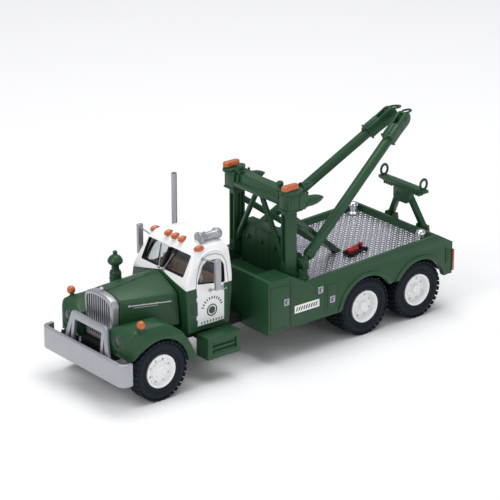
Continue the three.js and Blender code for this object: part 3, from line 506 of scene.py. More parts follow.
# Deck sheet and tread share the deck_silver slot; the tread is painted about twice as bright: painted
# highlight on the raised lozenges.
SILVER_DECK = SilverPaint("deck_sheet", "deck_silver", (0.42, 0.42, 0.50), roughness=0.28, metallic=0.85)
SILVER_TREAD_PAINTED_HIGHLIGHT = SilverPaint("deck_tread_painted_highlight", "deck_silver", (0.80, 0.81, 0.88), roughness=0.3, metallic=0.75)
CHROME = Plating("plated_chrome", "chrome_plating", (0.80, 0.81, 0.83))
STEEL = Plating("plated_steel", "axle_steel", (0.52, 0.53, 0.55), roughness=0.3)
ORANGE = LensPlastic("lens_orange", "orange_plastic", (0.50, 0.105, 0.018))
LENS_RED = LensPlastic("lens_red", "red_plastic", (0.55, 0.02, 0.015))
LENS_GREY = LensPlastic("lens_grey", "silver_plastic", (0.025, 0.028, 0.03))
RUBBER = TyreRubber("rubber_moulded", "tyre_rubber", (0.0105, 0.0155, 0.022))
CLEAR = ClearPlastic("window_clear", "clear_plastic", (0.80, 0.83, 0.84))


# ---------------------------------------------------------------------------------- shaping


@dataclass
class Span:
    """The box of a frame node, in millimetres."""

    low: Vector
    high: Vector

    @classmethod
    def of(cls, node: str) -> "Span":
        """Measures a node of the frame."""
        low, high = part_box(node)
        return cls(low / MM, high / MM)

    @property
    def x(self) -> Pair:
        """Least and greatest x."""
        return self.low.x, self.high.x

    @property
    def y(self) -> Pair:
        """Least and greatest y."""
        return self.low.y, self.high.y

    @property
    def z(self) -> Pair:
        """Least and greatest z."""
        return self.low.z, self.high.z

    @property
    def middle(self) -> Vector:
        """The box's centre."""
        return (self.low + self.high) / 2

    @property
    def size(self) -> Vector:
        """The box's three sides."""
        return self.high - self.low


def facing(start: Sequence[float], end: Sequence[float], roll: Vector = UP) -> Matrix:
    """A frame at start whose +Y points to end and whose +Z leans towards roll.

    Args:
        start: where the frame sits.
        end: point that its +Y runs to.
        roll: direction that its +Z leans towards.

    Returns:
        The frame.
    """
    origin = Vector(start)
    forward = (Vector(end) - origin).normalized()
    side = forward.cross(roll).normalized()
    up = side.cross(forward)
    turn = Matrix((side, forward, up)).transposed().to_4x4()
    return Matrix.Translation(origin) @ turn


def arc(centre: Pair, radius: float, start: float, end: float, steps: int) -> list[Pair]:
    """Points along an arc, with its angles in degrees."""
    angles = (math.radians(start + (end - start) * i / steps) for i in range(steps + 1))
    return [(centre[0] + radius * math.cos(a), centre[1] + radius * math.sin(a)) for a in angles]


class Blank:
    """A shape being worked, in millimetres."""

    def __init__(self) -> None:
        """Starts with nothing."""
        self.bm = bmesh.new()

    @classmethod
    def of_node(cls, node: str) -> "Blank":
        """A copy of a frame node with its loose triangles merged into clean faces.

        Args:
            node: frame node to copy.

        Returns:
            The copy.
        """
        blank = cls()
        blank.bm.from_mesh(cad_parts[node].data)
        bmesh.ops.scale(blank.bm, vec=(1 / MM,) * 3, verts=blank.bm.verts)
        bmesh.ops.remove_doubles(blank.bm, verts=blank.bm.verts, dist=0.003)
        bmesh.ops.dissolve_limit(blank.bm, angle_limit=math.radians(0.8), verts=blank.bm.verts,
                                 edges=blank.bm.edges)
        return blank

    @classmethod
    def hull_of(cls, node: str) -> "Blank":
        """The outer form of a frame node, without its hollows and openings.

        Args:
            node: frame node to enclose.

        Returns:
            The hull.
        """
        blank = cls.of_node(node)
        made = bmesh.ops.convex_hull(blank.bm, input=blank.bm.verts)
        kept = {part for part in made["geom"] if isinstance(part, bmesh.types.BMFace)}
        spare = [face for face in blank.bm.faces if face not in kept]
        bmesh.ops.delete(blank.bm, geom=spare, context="FACES")
        loose = [vert for vert in blank.bm.verts if not vert.link_faces]
        bmesh.ops.delete(blank.bm, geom=loose, context="VERTS")
        bmesh.ops.dissolve_limit(blank.bm, angle_limit=math.radians(1.0), verts=blank.bm.verts,
                                 edges=blank.bm.edges)
        return blank

    def box(self, x: Pair, y: Pair, z: Pair, soft: float = 0.0, at: Matrix = Matrix()) -> None:
        """Adds a block.

        Args:
            x: its extent along X.
            y: its extent along Y.
            z: its extent along Z.
            soft: radius of its edges.
            at: frame that it is placed in.
        """
        centre = Vector((sum(x) / 2, sum(y) / 2, sum(z) / 2))
        size = (x[1] - x[0], y[1] - y[0], z[1] - z[0], 1)
        place = at @ Matrix.Translation(centre) @ Matrix.Diagonal(size)
        verts = bmesh.ops.create_cube(self.bm, size=1.0, matrix=place)["verts"]
        self._round(verts, soft)

    def rod(self, start: Sequence[float], end: Sequence[float], radius: float, tip: float | None = None,
            segments: int = 24, soft: float = 0.0, at: Matrix = Matrix()) -> None:
        """Adds a round or tapered bar between two points.

        Args:
            start: where it starts.
            end: where it ends.
            radius: radius at its start.
            tip: radius at its end, where that differs.
            segments: steps around it.
            soft: size of the rounding.
            at: frame that its measures are given in.
        """
        first, last = at @ Vector(start), at @ Vector(end)
        along = last - first
        place = Matrix.Translation((first + last) / 2) @ along.to_track_quat("Z", "Y").to_matrix().to_4x4()
        verts = bmesh.ops.create_cone(
            self.bm, cap_ends=True, cap_tris=False, segments=segments, radius1=radius,
            radius2=radius if tip is None else tip, depth=along.length, matrix=place)["verts"]
        self._round(verts, soft, 60)

    def strand(self, points: Sequence[Sequence[float]], radius: float, segments: int = 8) -> None:
        """Adds a wire that follows points, with a bead at each bend.

        Args:
            points: points of its centre line.
            radius: radius of the wire.
            segments: steps around it.
        """
        for start, end in zip(points, points[1:]):
            self.rod(start, end, radius, segments=segments)
        for point in points[1:-1]:
            self.ball(point, (radius,) * 3, segments)

    def ball(self, centre: Sequence[float], radii: Triple, segments: int = 24,
             at: Matrix = Matrix()) -> None:
        """Adds an ellipsoid.

        Args:
            centre: its centre.
            radii: half sizes along the axes.
            segments: steps around it.
            at: frame that its measures are given in.
        """
        place = at @ Matrix.Translation(Vector(centre)) @ Matrix.Diagonal((*radii, 1))
        bmesh.ops.create_uvsphere(self.bm, u_segments=segments, v_segments=max(4, segments // 2),
                                  radius=1.0, matrix=place)

    def turned(self, profile: Sequence[Pair], centre: Sequence[float], axis: Vector, segments: int = 40,
               closed: bool = False) -> None:
        """Adds a turned piece.

        Args:
            profile: (radius, height) points, which start and end on the axis unless closed.
            centre: where height 0 lies.
            axis: direction of growing height.
            segments: steps round the piece.
            closed: whether the profile's last point joins its first.
        """
        place = Matrix.Translation(Vector(centre)) @ UP.rotation_difference(axis).to_matrix().to_4x4()
        verts = [self.bm.verts.new(place @ Vector((r, 0, h))) for r, h in profile]
        chain = zip(verts, verts[1:] + verts[:1]) if closed else zip(verts, verts[1:])
        edges = [self.bm.edges.new(pair) for pair in chain]
        before = set(self.bm.verts) - set(verts)
        bmesh.ops.spin(self.bm, geom=verts + edges, cent=centre, axis=axis, angle=FULL_TURN, steps=segments,
                       use_merge=True, use_duplicate=False, dvec=(0, 0, 0))
        fresh = [vert for vert in self.bm.verts if vert not in before]
        bmesh.ops.remove_doubles(self.bm, verts=fresh, dist=1e-4)

    def ring(self, centre: Sequence[float], axis: Vector, radius: float, thick: float, around: int = 32,
             across: int = 10) -> None:
        """Adds a torus."""
        section = arc((radius, 0), thick, 0, 360 - 360 / across, across - 1)
        self.turned(section, centre, axis, around, closed=True)

    def prism(self, outline: Sequence[Pair], across: Across, low: float, high: float, soft: float = 0.0,
              at: Matrix = Matrix()) -> None:
        """Adds an outline drawn out between two depths.

        Args:
            outline: corners in order.
            across: axis that it is drawn out along.
            low: depth of one end.
            high: depth of the other end.
            soft: size of the rounding.
            at: frame that its measures are given in.
        """
        verts = [self.bm.verts.new(at @ across.point(a, b, low)) for a, b in outline]
        sheet = self.bm.faces.new(verts)
        made = bmesh.ops.extrude_face_region(self.bm, geom=[sheet])["geom"]
        far = [part for part in made if isinstance(part, bmesh.types.BMVert)]
        shift = at.to_3x3() @ across.point(0, 0, high - low)
        bmesh.ops.translate(self.bm, vec=shift, verts=far)
        own = {face for vert in (*verts, *far) for face in vert.link_faces}
        bmesh.ops.recalc_face_normals(self.bm, faces=list(own))
        self._round(verts + far, soft)

    def channel(self, at: Matrix, length: float, wide: float, tall: float, thick: float = 0.32) -> None:
        """Adds a channel bar along +Y of a frame, open towards its +Z.

        Args:
            at: frame at the bar's start.
            length: how far it runs.
            wide: width across its web.
            tall: height of its flanges.
            thick: thickness of its flanges.
        """
        w, t = wide / 2, tall / 2
        outline = [(-w, -t), (w, -t), (w, t), (w - thick, t), (w - thick, -t + thick * 1.4),
                   (-w + thick, -t + thick * 1.4), (-w + thick, t), (-w, t)]
        self.prism(outline, Across.Y, 0, length, 0.05, at)

    def _round(self, verts: Sequence[bmesh.types.BMVert], soft: float, angle: float = 25.0) -> None:
        """Rounds the edges of a shape that was just added.

        Args:
            verts: vertices of that shape.
            soft: size of the rounding.
            angle: edges above this angle are rounded, in degrees.
        """
        if soft > 0:
            own = set(verts)
            self.soften(soft, angle=angle, within=own)

    def scatter(self, pattern: "Blank", places: Iterable[Matrix]) -> None:
        """Adds a copy of a small shape at each place, and uses the shape up.

        Args:
            pattern: shape to copy.
            places: place of each copy.
        """
        mesh = bpy.data.meshes.new("work")
        pattern.bm.to_mesh(mesh)
        pattern.bm.free()
        for place in places:
            mesh.transform(place)
            self.bm.from_mesh(mesh)
            mesh.transform(place.inverted())
        bpy.data.meshes.remove(mesh)

    def soften(self, width: float, segments: int = 2, angle: float = 25.0,
               within: set[bmesh.types.BMVert] | None = None) -> None:
        """Rounds every edge sharper than an angle.

        Args:
            width: size of the rounding.
            segments: steps across it.
            angle: least angle between faces, in degrees.
            within: vertices that both of an edge's ends have to be among.
        """
        limit = math.radians(angle)
        edges = [edge for edge in self.bm.edges
                 if (within is None or (edge.verts[0] in within and edge.verts[1] in within))
                 and len(edge.link_faces) == 2 and edge.calc_face_angle(0.0) > limit]
        bmesh.ops.bevel(self.bm, geom=edges, offset=width, offset_type="OFFSET", segments=segments,
                        profile=0.5, affect="EDGES", clamp_overlap=True, material=-1)

    def recess(self, pick: Callable[[bmesh.types.BMFace], bool], margin: float, depth: float) -> None:
        """Sinks a panel into each picked face, or raises it where depth is negative.

        Args:
            pick: says which faces take a panel.
            margin: width of the rim that stays.
            depth: how deep the panel sinks.
        """
        for face in [face for face in self.bm.faces if pick(face)]:
            bmesh.ops.inset_region(self.bm, faces=[face], thickness=margin, depth=0.0, use_even_offset=True)
            bmesh.ops.inset_region(self.bm, faces=[face], thickness=0.02, depth=-depth,
                                   use_even_offset=True)

    def mark(self, index: int) -> "Blank":
        """Gives every face a material number.

        Args:
            index: material number.

        Returns:
            This shape.
        """
        for face in self.bm.faces:
            face.material_index = index
        return self

    def mirrored(self) -> "Blank":
        """A copy on the other side of the truck.

        Returns:
            The copy.
        """
        copy = Blank()
        copy.bm = self.bm.copy()
        bmesh.ops.scale(copy.bm, vec=(-1, 1, 1), verts=copy.bm.verts)
        bmesh.ops.reverse_faces(copy.bm, faces=copy.bm.faces)
        return copy

    def moved(self, place: Matrix) -> "Blank":
        """Moves the whole shape."""
        bmesh.ops.transform(self.bm, matrix=place, verts=self.bm.verts)
        return self

    def _as_object(self) -> bpy.types.Object:
        """A throw-away object that modifiers can work on.

        Returns:
            The object.
        """
        bmesh.ops.recalc_face_normals(self.bm, faces=self.bm.faces)
        mesh = bpy.data.meshes.new("work")
        self.bm.to_mesh(mesh)
        mesh.materials.append(None)
        mesh.materials.append(None)
        work = bpy.data.objects.new("work", mesh)
        bpy.context.scene.collection.objects.link(work)
        return work

    def _settle(self, work: bpy.types.Object, spare: Iterable[bpy.types.Object] = ()) -> "Blank":
        """Takes the modified mesh of a throw-away object back.

        Args:
            work: object whose mesh is taken.
            spare: other objects to throw away.

        Returns:
            This shape.
        """
        graph = bpy.context.evaluated_depsgraph_get()
        mesh = bpy.data.meshes.new_from_object(work.evaluated_get(graph))
        self.bm.free()
        self.bm = bmesh.new()
        self.bm.from_mesh(mesh)
        bpy.data.meshes.remove(mesh)
        for thing in (work, *spare):
            data = thing.data
            bpy.data.objects.remove(thing)
            bpy.data.meshes.remove(data)
        return self

    def carve(self, *tools: "Blank") -> "Blank":
        """Cuts tools away.

        Args:
            tools: shapes to take away, which are used up.

        Returns:
            This shape.
        """
        work = self._as_object()
        others = [tool._as_object() for tool in tools]
        for other in others:
            step = work.modifiers.new("cut", "BOOLEAN")
            step.object = other
            step.operation = "DIFFERENCE"
            step.solver = "EXACT"
        return self._settle(work, others)

    def melt(self, voxel: float, passes: int) -> "Blank":
        """Turns hard edges into the soft curves of a moulding.

        Args:
            voxel: grain of the moulding.
            passes: rounds of smoothing.

        Returns:
            This shape.
        """
        work = self._as_object()
        skin = work.modifiers.new("skin", "REMESH")
        skin.mode = "VOXEL"
        skin.voxel_size = voxel
        flow = work.modifiers.new("flow", "SMOOTH")
        flow.factor = 0.5
        flow.iterations = passes
        return self._settle(work)

    def surface(self) -> BVHTree:
        """A tree for finding points on the shape."""
        return BVHTree.FromBMesh(self.bm)

    def piece(self, name: str, body: Body, finish: Finish | Sequence[Finish], replaces: Sequence[str] = (),
              sharp: float = 38.0) -> bpy.types.Object:
        """Hands the shape over as a finished piece.

        Args:
            name: the piece's name.
            body: body of the frame that it rides on.
            finish: its finish, or one for each material number.
            replaces: frame nodes that it stands for.
            sharp: edges above this angle stay crisp, in degrees.

        Returns:
            The piece.
        """
        finishes = [finish] if isinstance(finish, Finish) else list(finish)
        bmesh.ops.recalc_face_normals(self.bm, faces=self.bm.faces)
        bmesh.ops.scale(self.bm, vec=(MM,) * 3, verts=self.bm.verts)
        mesh = bpy.data.meshes.new(name)
        self.bm.to_mesh(mesh)
        self.bm.free()
        for each in finishes:
            mesh.materials.append(each.material())
        mesh.shade_smooth()
        mesh.set_sharp_from_angle(angle=math.radians(sharp))
        made = bpy.data.objects.new(name, mesh)
        bpy.context.scene.collection.objects.link(made)
        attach(made, body.value)
        if replaces:
            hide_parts(*replaces)
        LOG.info("%s: %d faces", name, len(mesh.polygons))
        return made


def refined(node: str, body: Body, finish: Finish, soft: float, segments: int = 2,
            angle: float = 25.0) -> bpy.types.Object:
    """The node's own shape with rounded edges, standing for it.

    Args:
        node: frame node to round and to stand for.
        body: body of the frame that it rides on.
        finish: its finish.
        soft: size of the rounding.
        segments: steps across the rounding.
        angle: edges above this angle are rounded, in degrees.

    Returns:
        The piece.
    """
    blank = Blank.of_node(node)
    blank.soften(soft, segments, angle)
    return blank.piece(f"{node}_moulding", body, finish, [node])


# ---------------------------------------------------------------------------------- studio


@dataclass
class Studio:
    """Floor, lights and the camera."""

    eye: Triple = (395.96, -319.38, 218.55)
    azimuth: float = 51.2
    elevation: float = 21.3
    lens: float = 187.2
    floor_half: float = 3000.0

    def build(self) -> None:
        """Sets up the whole studio."""
        self.camera()
        self.floor()
        self.lights()
        bpy.context.scene.view_settings.view_transform = "Standard"

    def camera(self) -> None:
        """Places the camera."""
        data = bpy.data.cameras.new("camera")
        data.lens = self.lens
        data.sensor_width = 36.0
        data.clip_start = 0.01
        data.clip_end = 20.0
        camera = bpy.data.objects.new("camera", data)
        turn, lift = math.radians(self.azimuth), math.radians(self.elevation)
        back = Vector((math.sin(turn) * math.cos(lift), -math.cos(turn) * math.cos(lift), math.sin(lift)))
        right = Vector((math.cos(turn), math.sin(turn), 0))
        frame_of_view = Matrix((right, back.cross(right), back)).transposed().to_4x4()
        camera.matrix_world = Matrix.Translation(Vector(self.eye) * MM) @ frame_of_view
        bpy.context.scene.collection.objects.link(camera)
        bpy.context.scene.camera = camera

    def floor(self) -> None:
        """Lays a pale floor."""
        blank = bmesh.new()
        bmesh.ops.create_grid(blank, x_segments=1, y_segments=1, size=self.floor_half * MM)
        mesh = bpy.data.meshes.new("floor")
        blank.to_mesh(mesh)
        blank.free()
        sheet = NodeSheet("floor_paper")
        mesh.materials.append(sheet.surface(
            {"Base Color": sheet.mix(sheet.noise(0.02, 2), (0.90, 0.90, 0.91), (0.92, 0.92, 0.93))},
            {"Roughness": 0.9, "Specular IOR Level": 0.1}))
        floor = bpy.data.objects.new("floor", mesh)
        bpy.context.scene.collection.objects.link(floor)

    def lights(self) -> None:
        """Hangs the soft lights and fills the room."""
        world = bpy.data.worlds.new("room")
        world.use_nodes = True
        world.node_tree.nodes["Background"].inputs["Color"].default_value = (0.97, 0.98, 1.0, 1)
        world.node_tree.nodes["Background"].inputs["Strength"].default_value = 0.42
        bpy.context.scene.world = world
        self.softbox("overhead", (-40, 60, 520), (0, 0, 0), 420, 2.0)
        self.softbox("key", (60, -460, 330), (0, 0, 10), 220, 0.8)
        self.softbox("flank", (520, 60, 200), (0, 0, 15), 240, 0.35)

    @staticmethod
    def softbox(name: str, place: Triple, target: Triple, size: float, power: float) -> None:
        """Adds one square area light, with its sizes in millimetres and power in watts.

        Args:
            name: its name.
            place: where it stands.
            target: point that it shines at.
            size: edge in millimetres.
            power: power in watts.
        """
        data = bpy.data.lights.new(name, "AREA")
        data.size = size * MM
        data.energy = power
        lamp = bpy.data.objects.new(name, data)
        lamp.location = Vector(place) * MM
        lamp.rotation_euler = (Vector(place) - Vector(target)).to_track_quat("Z", "Y").to_euler()
        bpy.context.scene.collection.objects.link(lamp)


# ---------------------------------------------------------------------------------- running gear


@dataclass
class RunningGear:
    """Ladder frame, axles, wheels and tyres."""

    bodies: dict[str, Body] = field(default_factory=lambda: {
        "front": Body.FRONT, "middle": Body.MIDDLE, "rear": Body.REAR})
    lugs: int = 34
    lug_share: float = 0.70
    lug_height: float = 0.36
    dual_gap: float = 0.34
    nuts: int = 8
    hand_holes: int = 8

    def build(self) -> None:
        """Makes the frame and the three wheelsets."""
        refined("chassis_frame", Body.CHASSIS, PAINT_BLACK, 0.08)
        for axle, body in self.bodies.items():
            refined(f"{axle}_axle", body, STEEL, 0.1)
            for side, sign in SIDES.items():
                self.tyre(f"{axle}_tyre_{side}", body, axle != "front")
                self.wheel(f"{axle}_wheel_{side}", body, sign, axle != "front")

    def tyre(self, node: str, body: Body, dual: bool) -> None:
        """A tyre with stepped sidewalls and shoulder lugs; a dual has two, side by side.

        Args:
            node: frame node whose place it takes.
            body: body of the frame that it rides on.
            dual: whether there are two side by side.
        """
        span = Span.of(node)
        centre = span.middle
        radius = span.size.z / 2
        blank = Blank()
        if dual:
            halves = [(span.x[0], centre.x - self.dual_gap / 2), (centre.x + self.dual_gap / 2, span.x[1])]
        else:
            halves = [span.x]
        for low, high in halves:
            self.casing(blank, low - centre.x, high - centre.x, radius, centre)
        blank.piece(f"{node}_rubber", body, RUBBER, [node], sharp=30)

    def casing(self, blank: Blank, low: float, high: float, radius: float, centre: Vector) -> None:
        """One tyre casing with its two rows of lugs.

        Args:
            blank: shape that it is added to.
            low: inner side, from the centre.
            high: outer side, from the centre.
            radius: outside of the lugs.
            centre: middle of the whole tyre.
        """
        bead, tread = 3.58, radius - self.lug_height * 0.75
        flank = [(bead, 0.52), (bead + 0.2, 0.2), (4.3, 0.1), (4.4, 0.2), (4.6, 0.2), (4.72, 0.06),
                 (5.25, 0.0), (5.62, 0.07), (5.86, 0.22), (tread, 0.5)]
        middle = (low + high) / 2
        crown = [(tread, middle - 0.2), (tread - 0.14, middle - 0.14), (tread - 0.14, middle + 0.14),
                 (tread, middle + 0.2)]
        profile = ([(r, low + inset) for r, inset in flank] + crown
                   + [(r, high - inset) for r, inset in reversed(flank)])
        blank.turned(profile, centre, Vector((1, 0, 0)), 68, closed=True)
        pitch = FULL_TURN / self.lugs
        for row, (inner, outer) in enumerate(((low + 0.07, middle - 0.22), (middle + 0.22, high - 0.07))):
            width = pitch * radius * self.lug_share / 2
            lug = Blank()
            lug.box((inner, outer), (-width, width), (radius - self.lug_height, radius - 0.01))
            turns = [Matrix.Rotation(pitch * (step + 0.5 * row), 4, "X") for step in range(self.lugs)]
            blank.scatter(lug, (Matrix.Translation(centre) @ turn for turn in turns))

    def wheel(self, node: str, body: Body, sign: int, dual: bool) -> None:
        """A dished disc wheel with hand holes, nuts and a hub.

        Args:
            node: frame node whose place it takes.
            body: body of the frame that it rides on.
            sign: 1 on the left and -1 on the right.
            dual: whether its tyre is a dual.
        """
        span = Span.of(node)
        centre = span.middle
        half = span.size.x / 2
        rim = span.size.z / 2
        lip = half
        dish = 1.5 if dual else 0.85
        floor = lip - dish
        hub = floor + (1.35 if dual else 0.95)
        profile = [(0, -half), (rim, -half), (rim, lip - 0.05), (rim - 0.1, lip + 0.02),
                   (rim - 0.34, lip + 0.02), (rim - 0.44, lip - 0.1), (rim - 0.52, lip - 0.5),
                   (rim - 0.66, floor + 0.1), (rim - 0.85, floor), (2.15, floor + 0.16),
                   (1.98, floor + 0.4), (1.22, floor + 0.46), (1.06, floor + 0.6), (0.96, hub - 0.12),
                   (0.84, hub), (0.56, hub + 0.02), (0.5, hub - 0.14), (0.26, hub - 0.18), (0, hub - 0.18)]
        blank = Blank()
        blank.turned(profile, (0, 0, 0), Vector((1, 0, 0)), 64)
        holes = Blank()
        for step in range(self.hand_holes):
            turn = Matrix.Rotation(FULL_TURN * (step + 0.5) / self.hand_holes, 4, "X")
            holes.rod((floor - 0.5, 0, 2.42), (floor + 1, 0, 2.42), 0.26, segments=16, at=turn)
        blank.carve(holes)
        for step in range(self.nuts):
            turn = Matrix.Rotation(FULL_TURN * step / self.nuts, 4, "X")
            blank.rod((floor + 0.34, 0, 1.6), (floor + 0.66, 0, 1.6), 0.18, segments=6, soft=0.03, at=turn)
        facing_out = Matrix.Identity(4) if sign > 0 else Matrix.Rotation(math.pi, 4, "Z")
        blank.moved(Matrix.Translation(centre) @ facing_out)
        blank.piece(f"{node}_disc", body, PAINT_WHITE, [node], sharp=32)


# ---------------------------------------------------------------------------------- front end


@dataclass
class FrontEnd:
    """Bumper, guard, radiator, hood, fenders and air cleaner."""

    bars: int = 11
    bar_radius: float = 0.17
    grille_depth: float = 0.95
    signal: Triple = (12.0, -38.45, 17.2)
    signal_radius: float = 0.9
    lamp: Triple = (8.6, -41.75, 13.4)
    moulding: tuple[Triple, Triple] = ((5.25, -36.2, 18.45), (6.75, -27.0, 17.75))

    def build(self) -> None:
        """Makes everything ahead of the cab."""
        refined("bumper", Body.CHASSIS, SILVER, 0.2, 3, 15)
        refined("push_guard", Body.CHASSIS, SILVER, 0.13)
        self.radiator()
        self.hood()
        for side, sign in SIDES.items():
            self.fender(side, sign)
        self.air_cleaner()

    def radiator(self) -> None:
        """Shell with a recessed grille, upright bars and a filler cap."""
        span = Span.of("radiator")
        front, rear = span.y[0], span.y[1]
        half, foot = span.x[1], span.z[0]
        crown = [(half, 19.0), (half - 0.55, 20.1), (2.6, 20.75), (1.2, 20.95), (0, 21.0)]
        outline = [(half - 0.3, foot), *crown]
        outline += [(-x, z) for x, z in reversed(outline[:-1])]
        shell = Blank()
        shell.prism(outline, Across.Y, front, rear)
        shell.soften(0.5, 4, 12)
        faces = [face for face in shell.bm.faces if face.normal.y < -0.99]
        bmesh.ops.inset_region(shell.bm, faces=faces, thickness=0.3, depth=0.0, use_even_offset=True)
        bmesh.ops.inset_region(shell.bm, faces=faces, thickness=0.08, depth=-self.grille_depth,
                               use_even_offset=True)
        shell.turned([(0, 0), (0.62, 0), (0.62, 0.15), (0.4, 0.22), (0.4, 0.5), (0.55, 0.6), (0.5, 0.85),
                      (0.25, 1.0), (0, 1.02)], (0, front + 0.95, 20.85), UP, 24)
        shell.piece("radiator_shell", Body.CHASSIS, SILVER, ["radiator"])
        core = Blank()
        core.box((-half + 0.9, half - 0.9), (front + 0.85, front + 1.1), (foot + 0.4, 20.0))
        core.piece("radiator_core", Body.CHASSIS, PAINT_BLACK)
        grille = Blank()
        pitch = 2 * (half - 1.15) / (self.bars - 1)
        for step in range(self.bars):
            x = -half + 1.15 + pitch * step
            top = 20.15 - 0.02 * x ** 2 - 0.0016 * x ** 4
            grille.rod((x, front + 0.42, foot + 0.55), (x, front + 0.42, top), self.bar_radius, segments=10)
        grille.piece("radiator_grille", Body.CHASSIS, SILVER)

    def hood(self) -> None:
        """Butterfly hood with its centre hinge, side mouldings and shut lines."""
        skin = Blank.hull_of("hood")
        skin.soften(0.45, 4, 9)
        tree = skin.surface()
        span = Span.of("hood")
        trims, lines = Blank(), Blank()
        for sign in SIDES.values():
            start, end = (Vector((sign * x, y, z)) for x, y, z in self.moulding)
            points = [self.on_flank(tree, start.lerp(end, i / 12), sign) for i in range(13)]
            trims.strand(points, 0.15)
            trims.strand([p - Vector((0, 0, 0.42)) for p in points[1:9]], 0.09)
            for place in (0, 4, 8):
                trims.ball(points[place], (0.22, 0.42, 0.26), 12)
            upright = [self.on_flank(tree, Vector((0, span.y[1] - 0.75, z)), sign)
                       for z in (18.6, 17.6, 16.6, 15.6, 14.6, 13.6)]
            lines.strand(upright, 0.06)
            crossing = [self.on_flank(tree, Vector((0, span.y[1] - 2.9 + 0.42 * i, 18.2 - 0.52 * i)), sign)
                        for i in range(6)]
            lines.strand(crossing, 0.05)
        ridge = [self.on_top(tree, 0.0, y) for y in (span.y[0] + 0.4, -35.0, -31.5, -28.0, span.y[1] - 0.2)]
        hinge = Blank()
        hinge.strand(ridge, 0.14, 10)
        for point in ridge[:-1]:
            hinge.rod(point - Vector((0, 0.5, 0)), point + Vector((0, 0.5, 0)), 0.2, segments=12, soft=0.04)
        for sign in SIDES.values():
            shut = [self.on_top(tree, sign * x, span.y[1] - 0.75) for x in (0.3, 1.5, 3.0, 4.5, 5.8, 6.5)]
            lines.strand(shut, 0.06)
        skin.piece("hood_panel", Body.CHASSIS, PAINT_GREEN, ["hood"])
        trims.piece("hood_moulding", Body.CHASSIS, SILVER)
        lines.piece("hood_shut_lines", Body.CHASSIS, PAINT_INK)
        hinge.piece("hood_hinge", Body.CHASSIS, PAINT_GREEN)

    @staticmethod
    def on_flank(tree: BVHTree, point: Vector, sign: int) -> Vector:
        """The point of a side surface level with a point."""
        hit = tree.ray_cast(Vector((sign * 30, point.y, point.z)), Vector((-sign, 0, 0)))[0]
        return hit if hit else point

    @staticmethod
    def on_top(tree: BVHTree, x: float, y: float) -> Vector:
        """The point of a top surface above a place."""
        return tree.ray_cast(Vector((x, y, 60)), Vector((0, 0, -1)))[0]

    def fender(self, side: str, sign: int) -> None:
        """Pontoon fender with its arch, lamp and turn signal.

        Args:
            side: "left" or "right".
            sign: 1 on the left and -1 on the right.
        """
        node = f"front_fender_{side}"
        skin = Blank.of_node(node)
        skin.melt(0.17, 40)
        tree = skin.surface()
        seam = Blank()
        nose = []
        for step in range(9):
            z = 9.6 + step * 0.72
            hit = tree.ray_cast(Vector((sign * 9.9, -60, z)), Vector((0, 1, 0)))[0]
            if hit:
                nose.append(hit)
        if len(nose) > 2:
            seam.strand(nose, 0.05)
            seam.piece(f"fender_seam_{side}", Body.CHASSIS, PAINT_INK)
        skin.piece(f"{node}_pressing", Body.CHASSIS, PAINT_GREEN, [node], sharp=60)
        x, y, z = self.signal
        signal = Blank()
        signal.ball((sign * x, y, z), (self.signal_radius,) * 3, 24)
        signal.piece(f"turn_signal_{side}", Body.CHASSIS, ORANGE)
        stalk = Blank()
        stalk.turned([(0, 0), (0.62, 0), (0.5, 0.35), (0.34, 0.6), (0.42, 0.95), (0, 1.0)],
                     (sign * x, y + 0.1, z - 1.75), UP, 20)
        stalk.piece(f"turn_signal_stalk_{side}", Body.CHASSIS, PAINT_GREEN)
        x, y, z = self.lamp
        lens = Blank()
        lens.ball((sign * x, y + 0.15, z), (0.95, 0.42, 1.45), 24)
        lens.piece(f"headlight_{side}", Body.CHASSIS, LENS_GREY)

    def air_cleaner(self) -> None:
        """Oil-bath air cleaner with its mushroom cap."""
        span = Span.of("air_cleaner")
        foot = span.z[0]
        profile = [(0, 0), (1.2, 0), (1.25, 5.9), (1.1, 6.3), (0.82, 6.55), (0.8, 7.5), (1.05, 7.7),
                   (1.42, 7.95), (1.6, 8.25), (1.6, 8.7), (1.45, 8.85), (1.38, 9.1), (1.1, 9.45),
                   (0.7, 9.7), (0.5, 9.85), (0.46, 10.2), (0.52, 10.35), (0.4, 10.6), (0.2, 10.72),
                   (0, 10.75)]
        blank = Blank()
        blank.turned(profile, (span.middle.x, span.middle.y, foot), UP, 40)
        for height in (2.0, 4.6):
            blank.ring((span.middle.x, span.middle.y, foot + height), UP, 1.26, 0.09)
        blank.piece("air_cleaner_can", Body.CHASSIS, PAINT_GREEN, ["air_cleaner"], sharp=30)


# ---------------------------------------------------------------------------------- cab


